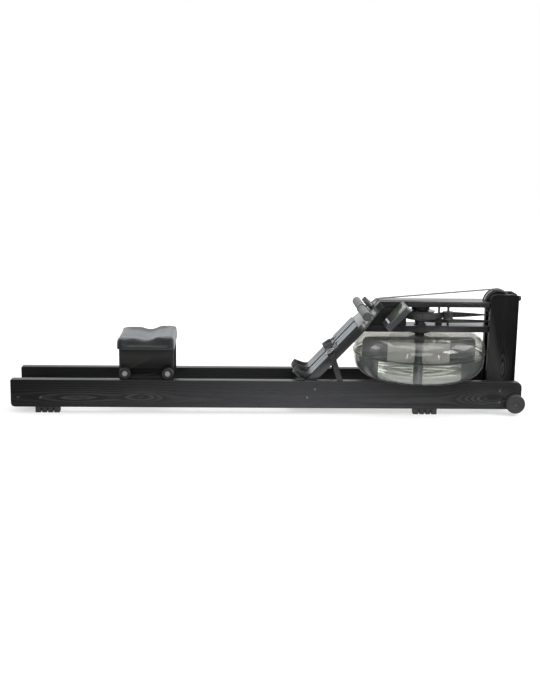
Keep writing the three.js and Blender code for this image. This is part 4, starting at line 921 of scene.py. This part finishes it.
def cushion_body():
    """Closed form of the seat, in rings of (inset, lift, share of the top's height) from below."""
    lip = -SEAT_LIP
    rings = [(100, 0, 0), (50, 0, 0), (14, 0, 0), (5.2, 0, 0), (4.4, lip, 0), (2.0, lip, 0),
             (0.6, lip + 0.7, 0), (0, lip + 2.6, 0), (0, 0, 0.35), (SEAT_SLOPE / 2, 0, 0.65),
             (SEAT_SLOPE, -SEAT_RIM, 1)]
    for k in range(1, 5):
        angle = math.pi / 2 * k / 4
        inset = SEAT_SLOPE + SEAT_RIM * (1 - math.cos(angle))
        rings.append((inset, -SEAT_RIM * (1 - math.sin(angle)), 1))
    rings += [(inset, 0, 1) for inset in BASIN_INSETS]
    points = []
    for inset, lift, share in rings:
        for x, y in seat_ring(inset):
            points.append(SEAT_MIDDLE + Vector((x, y, lift + share * cover_height(x, y))))
    return tube("seat_cover", points, len(points) // len(rings))


def swollen(ob):
    """Lets the cover swell under pressure about its fixed underside, by no more than the limit."""
    before = [v.co.copy() for v in ob.data.vertices]
    pin = ob.vertex_groups.new(name="pin")
    low = (SEAT_MIDDLE.z + 3) * MM
    pin.add([v.index for v in ob.data.vertices if v.co.z < low], 1.0, "REPLACE")
    cloth = ob.modifiers.new("cloth", "CLOTH")
    cloth.settings.use_pressure = True
    cloth.settings.uniform_pressure_force = PRESSURE
    cloth.settings.vertex_group_mass = "pin"
    cloth.settings.effector_weights.gravity = 0
    cloth.point_cache.frame_end = SETTLE_FRAMES
    for step in range(1, SETTLE_FRAMES + 1):
        bpy.context.scene.frame_set(step)
    applied(ob)
    bpy.context.scene.frame_set(1)
    for vertex, old in zip(ob.data.vertices, before):
        move = vertex.co - old
        if move.length > SWELL_LIMIT * MM:
            vertex.co = old + move.normalized() * SWELL_LIMIT * MM
    ob.vertex_groups.clear()
    return ob


def fit_box(ob, low, high):
    """Stretches the mesh a little so that it fills a box."""
    for k in range(3):
        spots = [v.co[k] for v in ob.data.vertices]
        least, most = min(spots), max(spots)
        share = (high[k] - low[k]) / (most - least)
        for vertex in ob.data.vertices:
            vertex.co[k] = low[k] + (vertex.co[k] - least) * share


def make_cushion():
    ob = cushion_body()
    remesh = ob.modifiers.new("remesh", "REMESH")
    remesh.mode = "VOXEL"
    remesh.voxel_size = VOXEL * MM
    applied(ob)
    swollen(ob)
    smooth = ob.modifiers.new("smooth", "SMOOTH")
    smooth.iterations = 1
    subdivide = ob.modifiers.new("subdivide", "SUBSURF")
    subdivide.levels = 1
    subdivide.render_levels = 1
    applied(ob)
    half = Vector((SEAT_LENGTH / 2, SEAT_WIDTH / 2, 0))
    low = SEAT_MIDDLE - half - Vector((0, 0, SEAT_LIP))
    high = SEAT_MIDDLE + half + Vector((0, 0, SEAT_TOP))
    fit_box(ob, low * MM, high * MM)
    shade(ob, 60)
    dress(ob, "seat", SEAT_COVER, "seat_pad", "seat_cushion")


make_cushion()


# Footrests and their straps

PLATE_TOP = 4.65
PLATE_END = 303
STEP_START = 188
STEP_RISE = 2.6
STEP_MARGIN = 12
REST_HALF = 50
REST_MIDDLE = 60
SLOT_START, SLOT_END, SLOT_HALF = 65, 255, 8
CUP_HALF = 46.5
CUP_BACK = -19
CUP_BEND = 10
CUP_FRONT = 32
CUP_HEIGHT = 57
CUP_WALL = 4.8


def on_plane(name, outlines, low, high, middle, round_mm):
    """Flat plate on the foot board, as (uphill, across) outlines, the first one outermost."""
    data = bpy.data.curves.new(name, "CURVE")
    data.dimensions = "2D"
    data.fill_mode = "BOTH"
    data.extrude = ((high - low) / 2 - round_mm) * MM
    data.bevel_depth = round_mm * MM
    data.bevel_resolution = 2
    data.offset = -round_mm * MM
    for outline in outlines:
        spline = data.splines.new("POLY")
        spline.points.add(len(outline) - 1)
        for spot, (u, y) in zip(spline.points, outline):
            spot.co = (u * MM, y * MM, 0, 1)
        spline.use_cyclic_u = True
    mesh = from_curve(name, data)
    stood_on_board(mesh, 0, middle, (low + high) / 2)
    return shade(place_object(name, mesh), 40)


def oblong(start, end, half, corner, steps=6):
    """Outline with round corners, between two places uphill."""
    line = []
    for first, u, y in ((0, end - corner, half - corner), (90, start + corner, half - corner),
                        (180, start + corner, corner - half), (270, end - corner, corner - half)):
        line += arc((u, y), corner, first, first + 90, steps)
    return line


def cup_height(u):
    """Height of the heel cup's wall: full round the back, falling away along the sides."""
    share = held((u - 4) / (CUP_FRONT - 4))
    return PLATE_TOP + 2 + (CUP_HEIGHT - PLATE_TOP - 2) * (1 - share) ** 1.7


def heel_cup(name, middle):
    """Curved wall round the heel, with a round rim and a hollow at its foot inside."""
    line = []
    for k in range(61):
        turn = -90 + 3 * k
        c, s = math.cos(math.radians(turn)), math.sin(math.radians(turn))
        line.append((CUP_BEND - (CUP_BEND - CUP_BACK) * c ** 0.8, CUP_HALF * s))
    straight = [(CUP_FRONT - (CUP_FRONT - CUP_BEND) * k / 10, -CUP_HALF) for k in range(10)]
    line = straight + line + [(u, -y) for u, y in reversed(straight)]
    half = CUP_WALL / 2
    points = []
    for k, (u, y) in enumerate(line):
        before, after = line[max(k - 1, 0)], line[min(k + 1, len(line) - 1)]
        along = Vector((after[0] - before[0], after[1] - before[1])).normalized()
        out = Vector((-along.y, along.x))
        if out.dot(Vector((u - CUP_FRONT, y))) < 0:
            out = -out
        top = cup_height(u)
        rise = top - PLATE_TOP
        shape = [(-half - 9, 0.1), (half - 1, 0.1), (half, 1.2), (half + 0.6, rise * 0.45),
                 (half, top - 1.6), (half * 0.6, top - 0.3), (0, top), (-half * 0.6, top - 0.3),
                 (-half, top - 1.6), (-half, PLATE_TOP + rise * 0.42),
                 (-half - 0.8, PLATE_TOP + rise * 0.22), (-half - 2.6, PLATE_TOP + rise * 0.09),
                 (-half - 5.5, PLATE_TOP + rise * 0.03), (-half - 9, PLATE_TOP - 0.1)]
        points += [on_board(u + out.x * o, middle + y + out.y * o, n) for o, n in shape]
    return shade(tube(name, points, len(shape)), 50)


def make_footrest(side, sign):
    middle = sign * REST_MIDDLE
    node = "footrest_" + side
    heel = [(CUP_BEND - (CUP_BEND - CUP_BACK) * math.cos(math.radians(turn)),
             CUP_HALF * math.sin(math.radians(turn))) for turn in range(90, -91, -6)]
    ends = oblong(0, PLATE_END, REST_HALF, 10)
    outline = [*ends[:7], (CUP_BEND + 4, REST_HALF), *heel, (CUP_BEND + 4, -REST_HALF), *ends[21:]]
    slot = oblong(SLOT_START, SLOT_END, SLOT_HALF, SLOT_HALF - 0.05)
    strip = oblong(SLOT_START + 0.2, SLOT_END - 0.2, SLOT_HALF - 0.2, 7.6)
    inner = STEP_START + STEP_MARGIN
    step = oblong(STEP_START, PLATE_END - 0.6, REST_HALF - 0.4, 9)
    step_slot = oblong(inner, SLOT_END, SLOT_HALF, SLOT_HALF - 0.05)
    cover = oblong(inner + 0.2, SLOT_END - 0.2, SLOT_HALF - 0.2, 7.6)
    step_top = PLATE_TOP + STEP_RISE
    for part, outlines, low, high, round_mm, nodes in (
            ("_plate", [outline, slot], 0.05, PLATE_TOP, 0.5, [node]),
            ("_strip", [strip], 0.1, PLATE_TOP - 0.5, 0.3, []),
            ("_step", [step, step_slot], PLATE_TOP - 0.1, step_top, 0.8, []),
            ("_cover", [cover], PLATE_TOP - 0.4, step_top - 0.5, 0.3, [])):
        piece = on_plane(node + part, outlines, low, high, middle, round_mm)
        dress(piece, node, GREY_PLASTIC, "grey_plastic", *nodes)
    dress(heel_cup(node + "_cup", middle), node, CUP_PLASTIC, "grey_plastic")


def ribbon(name, stations, width, thickness, bevel=0.5):
    """Flat strap through stations of a centre, a direction across and one through it."""
    points = []
    for centre, across, through in stations:
        for a, t in ((-1, -1), (1, -1), (1, 1), (-1, 1)):
            points.append(centre + across * a * width / 2 + through * t * thickness / 2)
    return bevelled(tube(name, points, 4), bevel, 2)


ARCH_PLACE = 150
ARCH_REACH = 17
ARCH_RISE = 16
ARCH_TILT = 4.5
ARCH_HALF = 52
ARCH_THICK = 2.2
ARCH_SHARE = 0.75
ARCH_STEPS = 30
BUCKLE_DEGREES = (20, 38, 58)
BUCKLE_REACH = 1.08
BUCKLE_STEPS = 20
BUCKLE_WIRE = 1.7
BAR_WIRE = 1.3
TAIL_LENGTH = 54
TAIL_WIDTH = 15
TAIL_STEPS = 12


def arch_point(side_y, angle, edge=0.0, sink=0.0):
    """Place on the toe strap, edge -1 at its heel side and 1 at its far side, sunk in its face."""
    rise = ARCH_RISE - edge * ARCH_TILT - sink
    half = ARCH_HALF - sink
    height = 0.2 + rise * math.sin(angle) ** ARCH_SHARE
    return on_board(ARCH_PLACE + edge * ARCH_REACH, side_y + half * math.cos(angle), height)


def make_foot_strap(side, sign):
    """Toe strap, open towards the heel, with an oval buckle on its outer slope and a loose tail."""
    middle = sign * REST_MIDDLE
    node = "foot_strap_" + side
    points = []
    for k in range(ARCH_STEPS + 1):
        angle = math.pi * k / ARCH_STEPS
        for edge, sink in ((-1, 0), (1, 0), (1, ARCH_THICK), (-1, ARCH_THICK)):
            points.append(arch_point(middle, angle, edge, sink))
    arch = bevelled(tube(node + "_arch", points, 4), 0.6, 2)
    dress(arch, "frame", FOOT_STRAP, "webbing", node)
    low, mid, high = (math.radians(a if sign > 0 else 180 - a) for a in BUCKLE_DEGREES)
    slope = (arch_point(middle, high) - arch_point(middle, low)) / 2
    reach = (arch_point(middle, mid, 1) - arch_point(middle, mid, -1)) / 2 * BUCKLE_REACH
    proud = reach.cross(slope).normalized() * -sign
    heart = arch_point(middle, mid) + proud * 2.2
    ring = []
    for k in range(BUCKLE_STEPS):
        turn = 2 * math.pi * k / BUCKLE_STEPS
        ring.append(heart + reach * math.cos(turn) + slope * math.sin(turn))
    buckle = wire(node + "_buckle", ring, BUCKLE_WIRE, cyclic=True)
    dress(buckle, "frame", BUCKLE_PLASTIC, "grey_plastic")
    bar = wire(node + "_bar", [heart - reach, heart + proud * 0.6, heart + reach], BAR_WIRE)
    dress(bar, "frame", BUCKLE_PLASTIC, "grey_plastic")
    line = []
    for k in range(TAIL_STEPS + 1):
        share = k / TAIL_STEPS
        u = ARCH_PLACE - 4 + TAIL_LENGTH * share
        height = ARCH_RISE + 1.4 - 9.6 * eased(share, 0.2, 0.9) - 1.2 * share
        line.append(on_board(u, middle + sign * (8 - 22 * share), height))
    stations = []
    for k, spot in enumerate(line):
        ahead = (line[min(k + 1, TAIL_STEPS)] - line[max(k - 1, 0)]).normalized()
        across = ahead.cross(OUTWARD).normalized()
        stations.append((spot, across, across.cross(ahead)))
    tail = ribbon(node + "_tail", stations, TAIL_WIDTH, ARCH_THICK)
    dress(tail, "frame", TAIL_STRAP, "webbing")


for side, sign in SIDES:
    make_footrest(side, sign)
    make_foot_strap(side, sign)


# Handle

HANDLE_CENTRE = on_board(362, 0, 21.4)
CAP_OUTLINE = [(0, 195.7), (17.5, 195.7), (18.2, 197), (17.6, 200), (15.4, 201.6), (0, 202.2)]
grip_outline = [(12.2, -195.6), (17.4, -195.6), (18, -194.6), (18, -176), (17.5, -175),
                (17.5, -174), (18, -173), (18, -46), (17.4, -45), (17.4, -44), (18, -43), (18, 0)]
grip_outline += [(r, -h) for r, h in reversed(grip_outline[:-1])]
grip = lathe("grip_sleeve", grip_outline, HANDLE_CENTRE, "y", bevel=0.4)
dress(grip, "handle", GRIP_FOAM, "handle_grip", "handle_grip")
for side, sign in SIDES:
    shape = [(r, sign * h) for r, h in CAP_OUTLINE]
    cap = lathe("grip_end_" + side, shape, HANDLE_CENTRE, "y", bevel=0.3)
    dress(cap, "handle", GRIP_CAP, "handle_grip")
rounded("handle_bar", BLACK_PLASTIC, "black_plastic", 0.5)


# Straps

for node in ("drive_strap", "recoil_strap"):
    rounded(node, STRAP_ALONG, "webbing", 0.3)
strap = bevelled(copy_of("handle_strap"), 0.3)
strap.data.materials.clear()
strap.data.materials.append(STRAP_ALONG)
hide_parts("handle_strap")
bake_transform(strap)


# Monitor

rounded("monitor_case", CASE_PLASTIC, "black_plastic", 4.5)
rounded("monitor_lens", SCREEN, "screen", 0.8)
for number in (1, 2, 3):
    rounded("monitor_key_" + str(number), KEY_RUBBER, "grey_plastic", 1.2)


# Bolts

BOLT_OUTLINE = [(0, -1), (5.4, -1), (5.4, 0.6), (4.6, 1.5), (3.2, 1.8), (2.8, 1.8), (2.6, 0.5),
                (0, 0.5)]
RAIL_FACE = 139
RAIL_BOLTS = [(-1020.6, 64), (-930.3, 63), (186, 104.5), (155, 70), (948, 102), (948, 54)]
for side, sign in SIDES:
    for number, (x, z) in enumerate(RAIL_BOLTS):
        name = "rail_bolt_" + side + "_" + str(number)
        bolt = turned(name, BOLT_OUTLINE, (x, RAIL_FACE, z), sign, 0.2)
        dress(bolt, "frame", BOLT_STEEL, "steel")


# Floor and light

FLOOR_HALF = 9000
FLOOR_GREY = 0.55
SOFT_LIGHT = 0.5
NEAR_GLOW = 1.0
FAR_GLOW = 0.07


def seen_directly(tree, path):
    """1 for what the camera sees, also through the tank."""
    return math_of(tree, "MAXIMUM", path["Is Camera Ray"], path["Is Transmission Ray"])


def make_floor():
    """Pale floor: keeps the soft shadow, fades to white, and is dim where gloss shows it."""
    h = FLOOR_HALF
    floor = from_points("floor", [(-h, -h, 0), (h, -h, 0), (h, h, 0), (-h, h, 0)], [(0, 1, 2, 3)])
    material, tree, place = new_look("floor")
    feed(material, Roughness=0.9, Specular_IOR_Level=0.0, Base_Color=grey(FLOOR_GREY))
    path = put(tree, "LightPath").outputs
    offset = vector_of(tree, "SUBTRACT", place, (0.15, -0.3, 0))
    away = length_of(tree, vector_of(tree, "MULTIPLY", offset, (0.6, 1.35, 1)))
    rim = spread(tree, away, 1.2, 3.5)
    seen = plus(tree, 0.56, times(tree, rim, 0.5))
    glow = spread(tree, away, 0.25, 0.85, NEAR_GLOW, FAR_GLOW)
    behind = spread(tree, put(tree, "SeparateXYZ", {0: place}).outputs["Y"], 0.2, 0.8)
    glow = math_of(tree, "MAXIMUM", glow, behind)
    light = put(tree, "Emission", {"Strength": seen}).outputs[0]
    ground = shader_of(tree).outputs[0]
    shown = put(tree, "AddShader", {0: ground, 1: light}).outputs[0]
    shine = put(tree, "Emission", {"Strength": glow}).outputs[0]
    direct = seen_directly(tree, path)
    first = put(tree, "MixShader", {0: direct, 1: ground, 2: shown}).outputs[0]
    show(tree, put(tree, "MixShader", {0: path["Is Glossy Ray"], 1: first, 2: shine}).outputs[0])
    floor.data.materials.append(material)


def make_world():
    """White where it is seen; in gloss white behind the object and dim in front."""
    world = bpy.data.worlds.new("world")
    world.use_nodes = True
    bpy.context.scene.world = world
    tree = world.node_tree
    ground = tree.nodes["Background"]
    path = put(tree, "LightPath").outputs
    way = put(tree, "TexCoord").outputs["Generated"]
    y = put(tree, "SeparateXYZ", {0: way}).outputs["Y"]
    shine = spread(tree, y, -0.15, 0.25, FAR_GLOW, 1.0)
    direct = seen_directly(tree, path)
    gloss = times(tree, path["Is Glossy Ray"], shine)
    shown = math_of(tree, "MAXIMUM", direct, path["Is Glossy Ray"])
    other = math_of(tree, "SUBTRACT", 1.0, shown, clamp=True)
    level = math_of(tree, "MAXIMUM", direct, gloss)
    level = plus(tree, level, times(tree, other, SOFT_LIGHT))
    fill(tree, ground, {"Color": grey(1.0), "Strength": level})


# Name, place, what it is aimed at, width and height, all in metres, and watts.
LAMPS = [
    ("overhead", (0.1, 0.1, 2.9), (0, 0, 0), 3.4, 2.2, 42),
    ("front_fill", (0.3, -3.4, 2.0), (0, 0, 0.2), 2.4, 1.4, 20),
    ("right_box", (2.5, 0.2, 1.9), (0.3, 0, 0.3), 1.3, 1.3, 18),
    ("side_box", (2.3, -1.35, 1.7), (0.42, 0, 0.44), 0.9, 0.9, 20),
    ("left_box", (-2.6, 0.4, 1.8), (-0.3, 0, 0.2), 1.0, 1.2, 12),
    ("strip_left", (-1.0, -3.0, 0.9), (0.6, 0, 0.35), 0.10, 1.4, 3),
    ("strip_right", (1.9, -2.8, 0.9), (0.6, 0, 0.35), 0.10, 1.4, 3),
]


def lamp(name, place, target, width, height, watts):
    data = bpy.data.lights.new(name, "AREA")
    data.shape = "RECTANGLE"
    data.size = width
    data.size_y = height
    data.energy = watts
    ob = place_object(name, data)
    ob.location = place
    ob.rotation_euler = (Vector(target) - Vector(place)).to_track_quat("-Z", "Y").to_euler()
    ob.visible_camera = False


make_floor()
make_world()
for row in LAMPS:
    lamp(*row)
